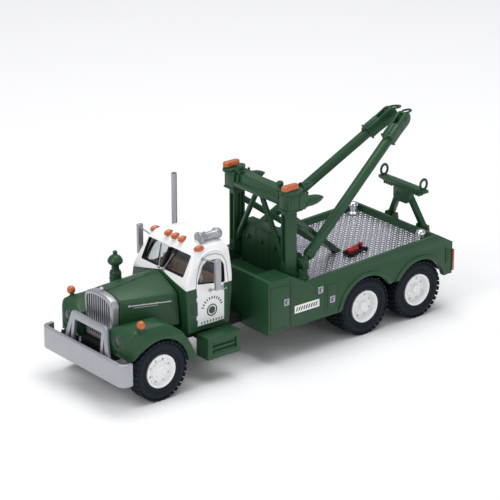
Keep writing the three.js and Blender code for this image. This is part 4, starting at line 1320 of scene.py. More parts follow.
@dataclass
class Cab:
    """Cab shell with its glass, trim, roof furniture, mirrors, steps and stack."""

    wall: float = 0.8
    screen: tuple[Pair, Pair] = ((0.22, 22.2), (7.1, 26.45))
    door_glass: tuple[Pair, ...] = ((-22.0, 20.75), (-14.95, 19.65), (-14.75, 23.4), (-15.6, 24.7),
                                    (-18.9, 25.1), (-20.3, 24.2))
    door_line: tuple[Pair, ...] = ((-22.15, 11.7), (-22.25, 16.0), (-22.35, 20.2), (-21.9, 22.2),
                                   (-21.0, 24.3), (-20.0, 25.5), (-18.6, 26.1), (-16.6, 26.0),
                                   (-15.0, 25.3), (-14.2, 23.9), (-14.1, 20.0), (-14.2, 16.0),
                                   (-14.3, 11.7), (-18.2, 11.62))
    emblem: Pair = (-18.5, 15.3)

    def build(self) -> None:
        """Makes the cab and what is fixed to it."""
        tree = self.shell()
        self.glazing()
        self.inside()
        self.trim(tree)
        for number in range(1, 6):
            self.marker(f"roof_marker_{number}")
        self.horn()
        for side, sign in SIDES.items():
            self.mirror(side, sign)
            self.door_print(side, sign, tree)
            self.step_box(side, sign)
        self.stack()

    def shell(self) -> BVHTree:
        """Cab shell with cut windows whose edges carry a dark seal.

        Returns:
            The shell's outer surface.
        """
        form = Blank.hull_of("cab_shell")
        form.soften(0.55, 3, 8)
        tree = form.surface()
        floor = [face for face in form.bm.faces if face.normal.z < -0.9]
        bmesh.ops.delete(form.bm, geom=floor, context="FACES")
        bmesh.ops.recalc_face_normals(form.bm, faces=form.bm.faces)
        bmesh.ops.solidify(form.bm, geom=form.bm.faces, thickness=self.wall)
        (inner, low), (outer, high) = self.screen
        cutters = []
        for sign in SIDES.values():
            cut = Blank()
            edges = sorted((sign * inner, sign * outer))
            cut.prism([(edges[0], low), (edges[1], low), (edges[1], high), (edges[0], high)],
                      Across.Y, -27.0, -19.0)
            self.round_corners(cut, 1, 0.3)
            cutters.append(cut)
        doors = Blank()
        doors.prism(self.door_glass, Across.X, -12, 12)
        self.round_corners(doors, 0, 0.4)
        rear = Blank()
        rear.prism([(-4.6, 21.6), (4.6, 21.6), (4.6, 25.4), (-4.6, 25.4)], Across.Y, -15, -11)
        self.round_corners(rear, 1, 0.5)
        for cutter in (*cutters, doors, rear):
            cutter.mark(1)
        form.carve(*cutters, doors, rear)
        form.piece("cab_pressing", Body.CHASSIS, [PAINT_CAB, PAINT_BLACK], ["cab_shell"], sharp=40)
        return tree

    @staticmethod
    def round_corners(blank: Blank, axis: int, radius: float) -> None:
        """Rounds the edges that run along one axis.

        Args:
            blank: shape that is worked on.
            axis: number of the axis that the edges follow.
            radius: size of the rounding.
        """
        edges = [edge for edge in blank.bm.edges
                 if abs((edge.verts[0].co - edge.verts[1].co).normalized()[axis]) > 0.9]
        bmesh.ops.bevel(blank.bm, geom=edges, offset=radius, offset_type="OFFSET", segments=4, profile=0.5,
                        affect="EDGES", clamp_overlap=True, material=-1)

    def glazing(self) -> None:
        """Clear insert behind the windows."""
        refined("cab_glazing", Body.CHASSIS, CLEAR, 0.04, 1, 40)

    def inside(self) -> None:
        """Seat, dash and steering wheel."""
        span = Span.of("cab_interior")
        seat = Blank()
        seat.box((span.x[0] + 0.1, span.x[1] - 0.1), span.y, (span.z[0], span.z[0] + 0.8), 0.1)
        for low, high in ((-7.5, -0.15), (0.15, 7.5)):
            seat.box((low, high), (-18.9, -15.2), (span.z[0] + 0.7, 15.6), 0.5)
            seat.box((low, high), (-16.3, -14.95), (15.3, span.z[1]), 0.5)
            for x in (low + 1.8, (low + high) / 2, high - 1.8):
                seat.rod((x, -16.42, 15.9), (x, -16.42, span.z[1] - 0.6), 0.16, segments=8)
        seat.piece("cab_bench", Body.CHASSIS, PAINT_TAN, ["cab_interior"])
        dash = Blank()
        dash.box((-7.5, 7.5), (span.y[0], -22.3), (span.z[0] + 0.8, 19.0), 0.35)
        dash.rod((3.8, -22.6, 17.4), (3.8, -20.3, 19.1), 0.28, segments=12)
        column = Vector((0, 2.3, 1.7)).normalized()
        dash.ring((3.8, -20.2, 19.2), column, 1.5, 0.2)
        for turn in range(3):
            spoke = Matrix.Rotation(turn * FULL_TURN / 3, 3, column) @ Vector((1.5, 0, 0))
            dash.rod((3.8, -20.2, 19.2), Vector((3.8, -20.2, 19.2)) + spoke, 0.13, segments=8)
        dash.ball((3.8, -20.2, 19.2), (0.42, 0.42, 0.42), 12)
        dash.piece("cab_dashboard", Body.CHASSIS, PAINT_BLACK)

    def trim(self, tree: BVHTree) -> None:
        """Door lines, drip rails, handles, wipers and the cowl's grab slots.

        Args:
            tree: surface of the cab's shell.
        """
        lines, rails, fittings = Blank(), Blank(), Blank()
        for sign in SIDES.values():
            closed = [*self.door_line, self.door_line[0]]
            points = []
            for (y0, z0), (y1, z1) in zip(closed, closed[1:]):
                for i in range(6):
                    y, z = y0 + (y1 - y0) * i / 6, z0 + (z1 - z0) * i / 6
                    points.append(FrontEnd.on_flank(tree, Vector((0, y, z)), sign))
            lines.strand([*points, points[0]], 0.055)
            rail = []
            for y, z in arc((-17.6, 23.4), 1.0, 172, 8, 16):
                place = Vector((0, -17.6 + (y + 17.6) * 4.3, 23.4 + (z - 23.4) * 3.4))
                rail.append(FrontEnd.on_flank(tree, place, sign))
            rails.strand(rail, 0.2, 10)
            handle = FrontEnd.on_flank(tree, Vector((0, -15.3, 18.4)), sign)
            fittings.rod(handle + Vector((sign * 0.15, -0.75, 0)), handle + Vector((sign * 0.15, 0.55, 0)),
                         0.14,
                         segments=10, soft=0.03)
            fittings.ball(handle + Vector((0, 0.5, 0)), (0.28, 0.2, 0.24), 12)
            slot = FrontEnd.on_flank(tree, Vector((0, -23.6, 15.9)), sign)
            lines.strand([slot + Vector((0, y, z)) for y, z in
                          [(a * 0.42, b) for a, b in arc((0, 0), 1.0, 0, 360, 16)]], 0.06)
            hinge_y = -22.3
            for z in (13.6, 17.6):
                at = FrontEnd.on_flank(tree, Vector((0, hinge_y, z)), sign)
                rails.rod(at - Vector((0, 0, 0.45)), at + Vector((0, 0, 0.45)), 0.17, segments=10,
                          soft=0.03)
        lines.piece("cab_door_lines", Body.CHASSIS, PAINT_INK)
        rails.piece("cab_drip_rails", Body.CHASSIS, PAINT_WHITE)
        fittings.piece("door_handles", Body.CHASSIS, SILVER)
        self.wipers(tree)

    def wipers(self, tree: BVHTree) -> None:
        """Centre pillar and two wipers across the screen.

        Args:
            tree: surface of the cab's shell.
        """
        blades, arms = Blank(), Blank()
        for sign in SIDES.values():
            foot = self.on_screen(tree, sign * 0.75, 22.25, 0.2)
            tip = self.on_screen(tree, sign * 2.2, 25.6, 0.2)
            arms.rod(foot, tip, 0.1, segments=8)
            arms.turned([(0, 0), (0.32, 0), (0.3, 0.3), (0.15, 0.42), (0, 0.44)],
                        foot - Vector((0, -0.1, 0.15)),
                        Vector((0, -0.8, 0.5)).normalized(), 16)
            low = self.on_screen(tree, sign * 1.7, 23.3, 0.16)
            high = self.on_screen(tree, sign * 2.6, 26.2, 0.16)
            blades.rod(low, high, 0.12, segments=8)
        blades.rod(self.on_screen(tree, 0, 22.3, 0.0), self.on_screen(tree, 0, 26.3, 0.0), 0.27,
                   segments=14)
        arms.piece("wiper_arms", Body.CHASSIS, SILVER)
        blades.piece("wiper_blades", Body.CHASSIS, PAINT_BLACK)

    @staticmethod
    def on_screen(tree: BVHTree, x: float, z: float, proud: float) -> Vector:
        """A point just ahead of the windscreen's plane."""
        hit, normal = tree.ray_cast(Vector((x, -60, z)), Vector((0, 1, 0)))[:2]
        return hit + normal * proud

    def marker(self, node: str) -> None:
        """A teardrop roof lamp on its base.

        Args:
            node: frame node whose place it takes.
        """
        span = Span.of(node)
        middle = span.middle
        lamp = Blank()
        lamp.ball((middle.x, middle.y - 0.05, span.z[0] + 0.5), (0.72, 1.3, 0.68), 24)
        tail = [vert for vert in lamp.bm.verts if vert.co.y > middle.y]
        for vert in tail:
            pull = (vert.co.y - middle.y) / 1.3
            vert.co.x = middle.x + (vert.co.x - middle.x) * (1 - 0.45 * pull)
            vert.co.z -= 0.25 * pull
        lamp.piece(f"{node}_lens", Body.CHASSIS, ORANGE, [node], sharp=60)

    def horn(self) -> None:
        """Trumpet horn on two feet."""
        span = Span.of("air_horn")
        centre = Vector((5.7, span.y[0], 29.15))
        profile = [(0, 0.5), (0.7, 0.35), (1.0, 0.12), (1.12, 0.0), (1.26, 0.02), (1.3, 0.2), (1.22, 0.55),
                   (1.04, 0.9), (0.88, 1.4), (0.84, 2.0), (0.84, 3.9), (0.9, 4.1), (1.08, 4.25),
                   (1.12, 4.4), (1.12, 5.2), (1.0, 5.5), (0.7, 5.8), (0.3, 5.95), (0, 6.0)]
        blank = Blank()
        blank.turned(profile, centre, Vector((0, 1, 0)), 36)
        for y, girth in ((-17.4, 0.9), (-14.6, 1.12)):
            blank.box((5.3, 6.1), (y - 0.32, y + 0.32), (27.6, 29.0), 0.08)
            blank.ring((5.7, y, 29.15), Vector((0, 1, 0)), girth, 0.12)
        blank.piece("air_horn_trumpet", Body.CHASSIS, SILVER, ["air_horn"], sharp=32)

    def mirror(self, side: str, sign: int) -> None:
        """Door mirror: a tall head with its glass, on bent arms.

        Args:
            side: "left" or "right".
            sign: 1 on the left and -1 on the right.
        """
        node = f"mirror_{side}"
        span = Span.of(node)
        outer = max(abs(span.x[0]), abs(span.x[1]))
        y = span.y[0] + 0.65
        head = Blank()
        head.box((outer - 0.75, outer), (span.y[0], span.y[0] + 1.3), (20.4, span.z[1]), 0.16)
        roots = [(8.15, -20.0, 25.6), (9.3, -18.9, 18.9), (9.3, -15.9, 18.9)]
        ends = [(outer - 0.35, y, 26.3), (outer - 0.35, y, 20.7), (outer - 0.35, y, 20.9)]
        for root, end in zip(roots, ends):
            head.rod(root, end, 0.17, segments=12)
            head.turned([(0, 0), (0.42, 0), (0.4, 0.18), (0.2, 0.24), (0, 0.26)], root,
                        Vector((1, 0, 0.1)), 16)
        pane = Blank()
        pane.box((outer - 0.64, outer - 0.11), (span.y[0] + 1.28, span.y[0] + 1.36),
                 (20.6, span.z[1] - 0.2), 0.02)
        if sign < 0:
            head, pane = head.mirrored(), pane.mirrored()
        head.piece(f"{node}_head", Body.CHASSIS, SILVER, [node])
        pane.piece(f"{node}_glass", Body.CHASSIS, CHROME)

    def door_print(self, side: str, sign: int, tree: BVHTree) -> None:
        """Plain round badge between an arch and a row of short bars.

        Args:
            side: "left" or "right".
            sign: 1 on the left and -1 on the right.
            tree: surface of the cab's shell.
        """
        y0, z0 = self.emblem
        stripes = Blank()
        for y, z in arc((y0, z0 - 0.6), 2.55, 18, 162, 10):
            inner = Vector((0, y0 + (y - y0) * 0.9, z0 - 0.6 + (z - z0 + 0.6) * 0.9))
            outer = Vector((0, y0 + (y - y0) * 1.1, z0 - 0.6 + (z - z0 + 0.6) * 1.1))
            stripes.strand([FrontEnd.on_flank(tree, end, sign) for end in (inner, outer)], 0.12)
        for shift in range(8):
            y = y0 - 2.6 + shift * 0.74
            bar = [Vector((0, y, z)) for z in (z0 - 3.35, z0 - 2.85)]
            stripes.strand([FrontEnd.on_flank(tree, end, sign) for end in bar], 0.12)
        stripes.piece(f"door_bars_{side}", Body.CHASSIS, PAINT_INK)
        at = FrontEnd.on_flank(tree, Vector((0, y0, z0 - 0.8)), sign)
        badge = Blank()
        badge.rod(at - Vector((sign * 0.2, 0, 0)), at + Vector((sign * 0.06, 0, 0)), 0.8, segments=32)
        badge.ring(at, Vector((1, 0, 0)), 1.2, 0.13, 40, 8)
        badge.piece(f"door_badge_{side}", Body.CHASSIS, PAINT_GREEN)

    def step_box(self, side: str, sign: int) -> None:
        """Step box with a framed, ribbed panel and a treadplate top.

        Args:
            side: "left" or "right".
            sign: 1 on the left and -1 on the right.
        """
        node = f"step_box_{side}"
        span = Span.of(node)
        blank = Blank()
        blank.box((9.0, 13.0), span.y, span.z, 0.22)
        front = [face for face in blank.bm.faces if face.normal.x > 0.99]
        blank.recess(lambda face: face in front, 1.05, 0.45)
        y0, y1 = span.y[0] + 1.6, span.y[1] - 1.6
        for z in (6.75, 7.75, 8.75):
            blank.box((12.4, 12.95), (y0, y1), (z - 0.2, z + 0.2), 0.12)
        for i in range(6):
            for j in range(3):
                blank.ball((9.9 + j * 1.15, span.y[0] + 1.2 + i * 1.15, span.z[1]), (0.32, 0.12, 0.08), 8)
        if sign < 0:
            blank = blank.mirrored()
        blank.piece(f"{node}_casing", Body.CHASSIS, PAINT_GREEN, [node])

    def stack(self) -> None:
        """Exhaust stack: a guarded lower pipe and a plain open tail."""
        span = Span.of("exhaust_stack")
        x, y = span.middle.x, span.middle.y
        top = span.z[1] - span.z[0]
        profile = [(0, 0), (0.6, 0), (0.6, 4.4), (0.82, 4.6), (0.82, 16.6), (0.6, 17.0), (0.6, top),
                   (0.46, top), (0.46, top - 2.5), (0, top - 2.5)]
        blank = Blank()
        blank.turned(profile, (x, y, span.z[0]), UP, 36)
        for height in (5.2, 10.6, 16.0):
            blank.ring((x, y, span.z[0] + height), UP, 0.84, 0.1)
        blank.piece("exhaust_pipe", Body.CHASSIS, SILVER, ["exhaust_stack"], sharp=32)


# ---------------------------------------------------------------------------------- wrecker body


@dataclass
class WreckerBody:
    """Side-walled body with its lockers, deck, bollards and loose jack."""

    wall: float = 13.6
    latches: tuple[Pair, ...] = ((-2.4, 13.4), (6.8, 13.8), (10.1, 10.9))
    locker_doors: tuple[tuple[Pair, Pair], ...] = (((-6.5, 8.0), (-1.75, 17.4)), ((8.9, 9.0), (11.0, 14.2)))
    rivet_line: float = -1.2
    plate: tuple[Pair, Pair] = ((-0.1, 10.15), (6.6, 11.85))
    tread_pitch: float = 0.84
    deck_top: float = 15.4
    rise_from: float = 9.0
    slope: float = 0.0362
    tread_front: float = 2.1
    tread_edge: float = 0.55
    jack_at: Pair = (6.4, 22.6)
    jack_turn: float = 8.0

    def build(self) -> None:
        """Makes the body and what is on its deck."""
        refined("wrecker_body", Body.CHASSIS, PAINT_GREEN, 0.16, 2, 30)
        for side, sign in SIDES.items():
            self.locker_trim(side, sign)
            self.tail_lamp(side, sign)
            self.bollard(side)
        self.deck()
        self.jack()

    def locker_trim(self, side: str, sign: int) -> None:
        """Door panels, rivets, latches and a blank plate on one side wall.

        Args:
            side: "left" or "right".
            sign: 1 on the left and -1 on the right.
        """
        doors, lines, metal, dark = Blank(), Blank(), Blank(), Blank()
        for (y0, z0), (y1, z1) in self.locker_doors:
            slope = 0.6 if y0 < 0 else 0.0
            outline = [(y0, z0), (y1, z0), (y1, z1 - slope), (y0, z1)]
            doors.prism(outline, Across.X, self.wall - 0.05, self.wall + 0.1, 0.06)
            rim = [Vector((self.wall + 0.02, y, z)) for y, z in [*outline, outline[0]]]
            lines.strand(rim, 0.085, 6)
        lines.strand([(self.wall, self.rivet_line, z) for z in (7.6, 18.2)], 0.07, 6)
        lines.strand([(self.wall, 8.2, z) for z in (8.0, 15.6)], 0.07, 6)
        for i in range(13):
            doors.ball((self.wall, self.rivet_line + 0.35, 7.9 + i * 0.82), (0.1, 0.14, 0.14), 8)
        for y, z in self.latches:
            metal.box((self.wall, self.wall + 0.28), (y - 0.68, y + 0.68), (z - 0.75, z + 0.75), 0.06)
            dark.box((self.wall + 0.25, self.wall + 0.31), (y - 0.38, y + 0.38), (z - 0.42, z + 0.42))
            metal.box((self.wall + 0.27, self.wall + 0.4), (y - 0.1, y + 0.34), (z - 0.3, z + 0.3), 0.04)
        dark.box((self.wall - 0.05, self.wall + 0.05), (42.75, 43.3), (11.2, 14.3), 0.04)
        doors.box((self.wall - 0.05, self.wall + 0.14), (42.45, 42.75), (10.9, 14.6), 0.06)
        (y0, z0), (y1, z1) = self.plate
        plate = Blank()
        plate.box((self.wall, self.wall + 0.09), (y0, y1), (z0, z1), 0.03)
        for i in range(9):
            y = y0 + 0.62 + i * 0.66
            mark = [(y - 0.3, z0 + 0.42), (y, z0 + 0.42), (y + 0.3, z1 - 0.42), (y, z1 - 0.42)]
            dark.prism(mark, Across.X, self.wall + 0.05, self.wall + 0.11)
        if sign < 0:
            doors, lines, metal, dark, plate = (b.mirrored() for b in (doors, lines, metal, dark, plate))
        doors.piece(f"locker_doors_{side}", Body.CHASSIS, PAINT_GREEN)
        lines.piece(f"locker_shut_lines_{side}", Body.CHASSIS, PAINT_INK)
        metal.piece(f"locker_latches_{side}", Body.CHASSIS, SILVER)
        dark.piece(f"locker_marks_{side}", Body.CHASSIS, PAINT_INK)
        plate.piece(f"locker_plate_{side}", Body.CHASSIS, PAINT_WHITE)

    def tail_lamp(self, side: str, sign: int) -> None:
        """Red and amber lenses on the tail, on a moulded base.

        Args:
            side: "left" or "right".
            sign: 1 on the left and -1 on the right.
        """
        lenses, amber = Blank(), Blank()
        lenses.box((11.8, 13.9), (44.35, 44.8), (11.4, 13.6), 0.1)
        amber.box((11.8, 13.9), (44.35, 44.8), (9.0, 11.3), 0.1)
        if sign < 0:
            lenses, amber = lenses.mirrored(), amber.mirrored()
        lenses.piece(f"tail_lamp_{side}", Body.CHASSIS, LENS_RED)
        amber.piece(f"tail_signal_{side}", Body.CHASSIS, ORANGE)

    def level(self, y: float) -> float:
        """Height of the deck's face at a station along the truck."""
        return self.deck_top + max(0.0, y - self.rise_from) * self.slope

    def deck(self) -> None:
        """Plate that is painted ahead of the winch and carries crossed lozenges behind it."""
        plate = Blank.of_node("deck_plate")
        geom = [*plate.bm.verts, *plate.bm.edges, *plate.bm.faces]
        bmesh.ops.bisect_plane(plate.bm, geom=geom, plane_co=(0, self.tread_front, 0), plane_no=(0, 1, 0))
        for face in plate.bm.faces:
            face.material_index = int(face.calc_center_median().y < self.tread_front)
        plate.piece("deck_sheet", Body.CHASSIS, [SILVER_DECK, PAINT_GREEN], ["deck_plate"])
        span = Span.of("deck_plate")
        rows = int((span.size.y - 0.8) / self.tread_pitch)
        columns = int((span.size.x - 0.8) / self.tread_pitch)
        inner, front = 7.6, 3.6
        places = []
        for row in range(rows + 1):
            y = span.y[0] + self.tread_edge + row * self.tread_pitch
            tilt = Matrix.Rotation(math.atan(self.slope) if y > self.rise_from else 0.0, 4, "X")
            for column in range(columns + 1):
                x = span.x[0] + self.tread_edge + column * self.tread_pitch
                if y < self.tread_front + 0.4 or (abs(x) > inner and y < front):
                    continue
                turn = Matrix.Rotation(math.radians(45 if (row + column) % 2 else -45), 4, "Z")
                places.append(Matrix.Translation((x, y, self.level(y))) @ tilt @ turn)
        # The lozenges take the brighter deck silver: painted highlight where the raised tread catches the
        # light.
        lozenge, tread = Blank(), Blank()
        lozenge.ball((0, 0, 0), (0.38, 0.15, 0.11), 8)
        tread.scatter(lozenge, places)
        tread.piece("deck_tread_painted_highlight", Body.CHASSIS, SILVER_TREAD_PAINTED_HIGHLIGHT, sharp=60)

    @staticmethod
    def bollard(side: str) -> None:
        """Plated bollard.

        Args:
            side: "left" or "right".
        """
        span = Span.of(f"bollard_{side}")
        profile = [(0, 0), (1.2, 0), (1.25, 0.12), (1.2, 0.4), (0.95, 0.55), (0.78, 0.75), (0.76, 1.2),
                   (0.9, 1.45), (1.06, 1.75), (1.1, 2.15), (1.0, 2.55), (0.78, 2.88), (0.42, 3.1),
                   (0, 3.15)]
        blank = Blank()
        shrink = span.size.z / 3.2
        profile = [(radius, height * shrink) for radius, height in profile]
        blank.turned(profile, (span.middle.x, span.middle.y, span.z[0]), UP, 40)
        blank.piece(f"bollard_{side}_dome", Body.CHASSIS, CHROME, [f"bollard_{side}"], sharp=45)

    def jack(self) -> None:
        """Loose trolley jack: dark frame and wheels, red pump and saddle."""
        tilt = Matrix.Rotation(math.atan(self.slope), 4, "X")
        spot = Matrix.Translation((*self.jack_at, self.level(self.jack_at[1]) + 0.06))
        at = spot @ tilt @ Matrix.Rotation(math.radians(self.jack_turn), 4, "Z")
        base, red = Blank(), Blank()
        for x in (-1.05, 0.75):
            base.box((x, x + 0.3), (-2.6, 3.0), (0.25, 0.85), 0.08, at)
        base.box((-0.8, 0.8), (-2.6, -2.0), (0.25, 0.75), 0.05, at)
        base.box((-0.8, 0.8), (-0.4, 1.0), (0.2, 0.6), 0.05, at)
        base.rod((-0.9, 1.9, 0.62), (0.9, 1.9, 0.62), 0.42, segments=16, soft=0.05, at=at)
        for x in (-1.4, 1.1):
            for y in (-2.0, 2.3):
                base.rod((x, y, 0.45), (x + 0.3, y, 0.45), 0.45, segments=20, soft=0.06, at=at)
        base.rod((0, -2.5, 1.0), (0, -3.0, 1.5), 0.14, segments=10, at=at)
        red.box((-0.72, 0.72), (-2.35, 0.7), (0.6, 1.5), 0.26, at)
        red.rod((0, -1.6, 1.3), (0, 0.2, 1.5), 0.36, segments=16, soft=0.08, at=at)
        red.rod((0, 1.9, 0.6), (0, 1.9, 1.5), 0.26, segments=16, at=at)
        red.ball((0, 1.9, 1.6), (0.56, 0.56, 0.45), 20, at)
        base.piece("jack_frame", Body.CHASSIS, PAINT_BLACK)
        red.piece("jack_pump", Body.CHASSIS, PAINT_RED, ["floor_jack"])


# ---------------------------------------------------------------------------------- mast


@dataclass
class Mast:
    """Posts, beam, braces, backstays, winch and the lamps on the mast."""


    def build(self) -> None:
        """Makes the mast."""
        for side, sign in SIDES.items():
            self.post(side, sign)
            self.brace(side, sign)
            self.backstay(side, sign)
            self.bracket(side, sign)
            self.beacon(side)
        self.cross_beam()
        self.winch()
        self.spot()

    def post(self, side: str, sign: int) -> None:
        """Upright post, a channel open to the front with a ribbed inner side.

        Args:
            side: "left" or "right".
            sign: 1 on the left and -1 on the right.
        """
        node = f"mast_post_{side}"
        blank = Blank.of_node(node)
        span = Span.of(node)
        groove = Blank()
        x0, x1 = span.x
        groove.box((x0 + 0.4, x1 - 0.4), (span.y[0] - 1, span.y[0] + 0.75),
                   (span.z[0] + 4.2, span.z[1] - 0.9))
        inner = x0 if sign > 0 else x1
        for y in (span.y[0] + 1.15, span.y[0] + 2.0):
            groove.box((inner - 0.35, inner + 0.35), (y, y + 0.45), (span.z[0] + 4.2, span.z[1] - 0.9))
        blank.carve(groove)
        blank.soften(0.1, 2, 30)
        blank.piece(f"{node}_channel", Body.CHASSIS, PAINT_GREEN, [node])

    def brace(self, side: str, sign: int) -> None:
        """Leg of the inverted V between the posts.

        Args:
            side: "left" or "right".
            sign: 1 on the left and -1 on the right.
        """
        node = f"mast_brace_{side}"
        blank = Blank.of_node(node)
        blank.soften(0.1, 2, 30)
        start, end = Vector((sign * 0.9, 0.95, 32.0)), Vector((sign * 7.5, 1.3, 20.4))
        blank.rod(start.lerp(end, 0.03), start.lerp(end, 0.97), 0.14, segments=10)
        blank.piece(f"{node}_leg", Body.CHASSIS, PAINT_GREEN, [node])

    def backstay(self, side: str, sign: int) -> None:
        """Backstay channel down to the deck.

        Args:
            side: "left" or "right".
            sign: 1 on the left and -1 on the right.
        """
        node = f"rear_strut_{side}"
        blank = Blank.of_node(node)
        top, foot = Vector((sign * 8.75, 3.2, 29.1)), Vector((sign * 2.3, 21.6, 15.0))
        at = facing(top, foot)
        length = (foot - top).length
        groove = Blank()
        groove.box((-0.42, 0.42), (2.2, length - 2.4), (0.15, 1.2), at=at)
        blank.carve(groove)
        blank.soften(0.1, 2, 30)
        blank.piece(f"{node}_channel", Body.CHASSIS, PAINT_GREEN, [node])

    def cross_beam(self) -> None:
        """Box beam with lipped flanges front and rear."""
        span = Span.of("mast_beam")
        (y0, y1), (z0, z1) = span.y, span.z
        half = span.x[1]
        outline = [(y0 - 0.15, z0), (y0 + 0.55, z0), (y0 + 0.55, z0 + 0.35), (y1 - 0.3, z0 + 0.35),
                   (y1 - 0.3, z0), (y1, z0), (y1, z1 - 0.2), (y1 - 0.2, z1), (y0 + 0.75, z1),
                   (y0 + 0.55, z1 - 0.2), (y0 + 0.55, z0 + 1.15), (y0 - 0.15, z0 + 0.8)]
        blank = Blank()
        blank.prism(outline, Across.X, -half, half, 0.08)
        for x in (-half + 0.5, half - 1.1):
            blank.box((x, x + 0.6), (y0 + 0.2, y0 + 0.7), (z0 + 0.9, z1 - 0.3), 0.06)
        blank.piece("mast_beam_box", Body.CHASSIS, PAINT_GREEN, ["mast_beam"])

    def winch(self) -> None:
        """Winch housing with ribbed front, cable drums and their flanges."""
        span = Span.of("winch_housing")
        half = span.x[1]
        z0 = span.z[0]
        side = [(2.1, z0), (5.4, z0), (5.4, 20.2), (4.6, 24.5), (2.1, 24.5)]
        blank = Blank()
        blank.prism(side, Across.X, -half, half, 0.12)
        for x in (-half, -2.4, 1.8, half - 0.6):
            blank.prism([(2.0, z0), (6.5, z0), (6.5, 20.4), (4.9, 24.7), (2.0, 24.7)], Across.X, x,
                        x + 0.6, 0.08)
        blank.box((-half, half), (1.95, 5.0), (24.35, 24.8), 0.08)
        for x in (-4.4, 0.0, 4.4):
            blank.rod((x, 2.2, 21.6), (x, 1.75, 21.6), 0.5, segments=20, soft=0.05)
        # The casing here and the drums below are painted in the darkened body green: painted shade under
        # the mast beam.
        blank.piece("winch_casing", Body.CHASSIS, PAINT_GREEN_PAINTED_SHADE, ["winch_housing"])
        drums, rope = Blank(), Blank()
        for x in (-4.0, 4.0):
            for edge in (x - 1.5, x + 1.3):
                drums.rod((edge, 7.2, 17.85), (edge + 0.22, 7.2, 17.85), 1.68, segments=36, soft=0.06)
            drums.rod((x - 2.0, 7.2, 17.85), (x + 2.0, 7.2, 17.85), 0.5, segments=20)
            for turn in range(8):
                rope.ring((x - 1.12 + turn * 0.32, 7.2, 17.85), Vector((1, 0, 0)), 1.14, 0.165, 28, 8)
            rope.rod((x - 1.2, 7.2, 17.85), (x + 1.2, 7.2, 17.85), 1.12, segments=28)
        drums.piece("winch_drums", Body.CHASSIS, PAINT_GREEN_PAINTED_SHADE)
        rope.piece("winch_rope", Body.CHASSIS, PAINT_BLACK)

    def bracket(self, side: str, sign: int) -> None:
        """Mast head: side plate, lamp platform, knob and the rearward lamp.

        Args:
            side: "left" or "right".
            sign: 1 on the left and -1 on the right.
        """
        node = f"light_bracket_{side}"
        head, lamp = Blank(), Blank()
        head.prism([(0.6, 31.2), (5.2, 31.2), (6.0, 32.1), (6.0, 34.2), (4.6, 35.15), (0.6, 35.15)],
                   Across.X,
                   7.5, 10.7, 0.18)
        head.box((7.35, 10.8), (0.45, 4.3), (31.15, 31.6), 0.1)
        ellipse = [(9.4 + 1.6 * math.cos(a), 2.2 + 2.85 * math.sin(a))
                   for a in (FULL_TURN * i / 40 for i in range(40))]
        head.prism(ellipse, Across.Z, 35.15, 35.85, 0.14)
        for y in (1.2, 3.4):
            head.box((10.66, 10.82), (y, y + 0.5), (31.7, 34.6), 0.05)
        knob = [(0, 0), (0.42, 0), (0.4, 1.0), (0.55, 1.15), (0.74, 1.4), (0.76, 1.75), (0.6, 2.05),
                (0.3, 2.2), (0, 2.22)]
        head.turned(knob, (6.6, 1.6, 34.95), UP, 28)
        head.box((6.0, 9.0), (1.1, 2.2), (35.22, 35.72), 0.08)
        self.bullet(lamp, Vector((9.65, 5.5, 32.4)), 5.3, 1.2)
        lamp.rod((9.65, 6.4, 33.3), (9.65, 6.4, 34.5), 0.28, segments=14)
        if sign < 0:
            head, lamp = head.mirrored(), lamp.mirrored()
        head.piece(f"{node}_head", Body.CHASSIS, PAINT_GREEN, [node])
        lamp.piece(f"flood_lamp_{side}", Body.CHASSIS, PAINT_GREEN)

    @staticmethod
    def bullet(blank: Blank, start: Vector, length: float, radius: float) -> None:
        """A bullet-shaped lamp that points to the rear.

        Args:
            blank: shape that is worked on.
            start: where it starts.
            length: its length.
            radius: its radius.
        """
        profile = [(0, 0.25), (radius * 0.7, 0.2), (radius * 0.82, 0.0), (radius * 0.98, 0.0),
                   (radius, 0.15), (radius, 0.5), (radius * 0.92, 0.6), (radius * 0.95, length * 0.4),
                   (radius * 0.84, length * 0.6), (radius * 0.62, length * 0.78),
                   (radius * 0.32, length * 0.92), (0.12, length), (0, length)]
        blank.turned(profile, start, Vector((0, 1, 0)), 32)

    def spot(self) -> None:
        """Small lamp on the left head only."""
        span = Span.of("spot_lamp")
        lamp = Blank()
        self.bullet(lamp, Vector((span.middle.x, span.y[0], span.middle.z)), span.size.y, span.size.x / 2)
        lamp.rod((span.middle.x, span.y[0] + 0.5, span.middle.z - 0.6),
                 (span.middle.x, span.y[0] - 0.6, span.middle.z - 1.5), 0.2, segments=12)
        lamp.piece("spot_lamp_shell", Body.CHASSIS, PAINT_GREEN, ["spot_lamp"])

    @staticmethod
    def beacon(side: str) -> None:
        """Capsule beacon with a ribbed lens.

        Args:
            side: "left" or "right".
        """
        span = Span.of(f"beacon_{side}")
        middle, size = span.middle, span.size
        radius = size.x / 2
        reach = size.y / 2 - radius
        outline = ([(middle.x + a, middle.y + reach + b) for a, b in arc((0, 0), radius, 0, 180, 12)]
                   + [(middle.x + a, middle.y - reach + b) for a, b in arc((0, 0), radius, 180, 360, 12)])
        lens = Blank()
        lens.prism(outline, Across.Z, span.z[0] - 0.05, span.z[1])
        lens.soften(0.34, 4, 50)
        lens.piece(f"beacon_{side}_lens", Body.CHASSIS, ORANGE, [f"beacon_{side}"], sharp=50)


# ---------------------------------------------------------------------------------- booms


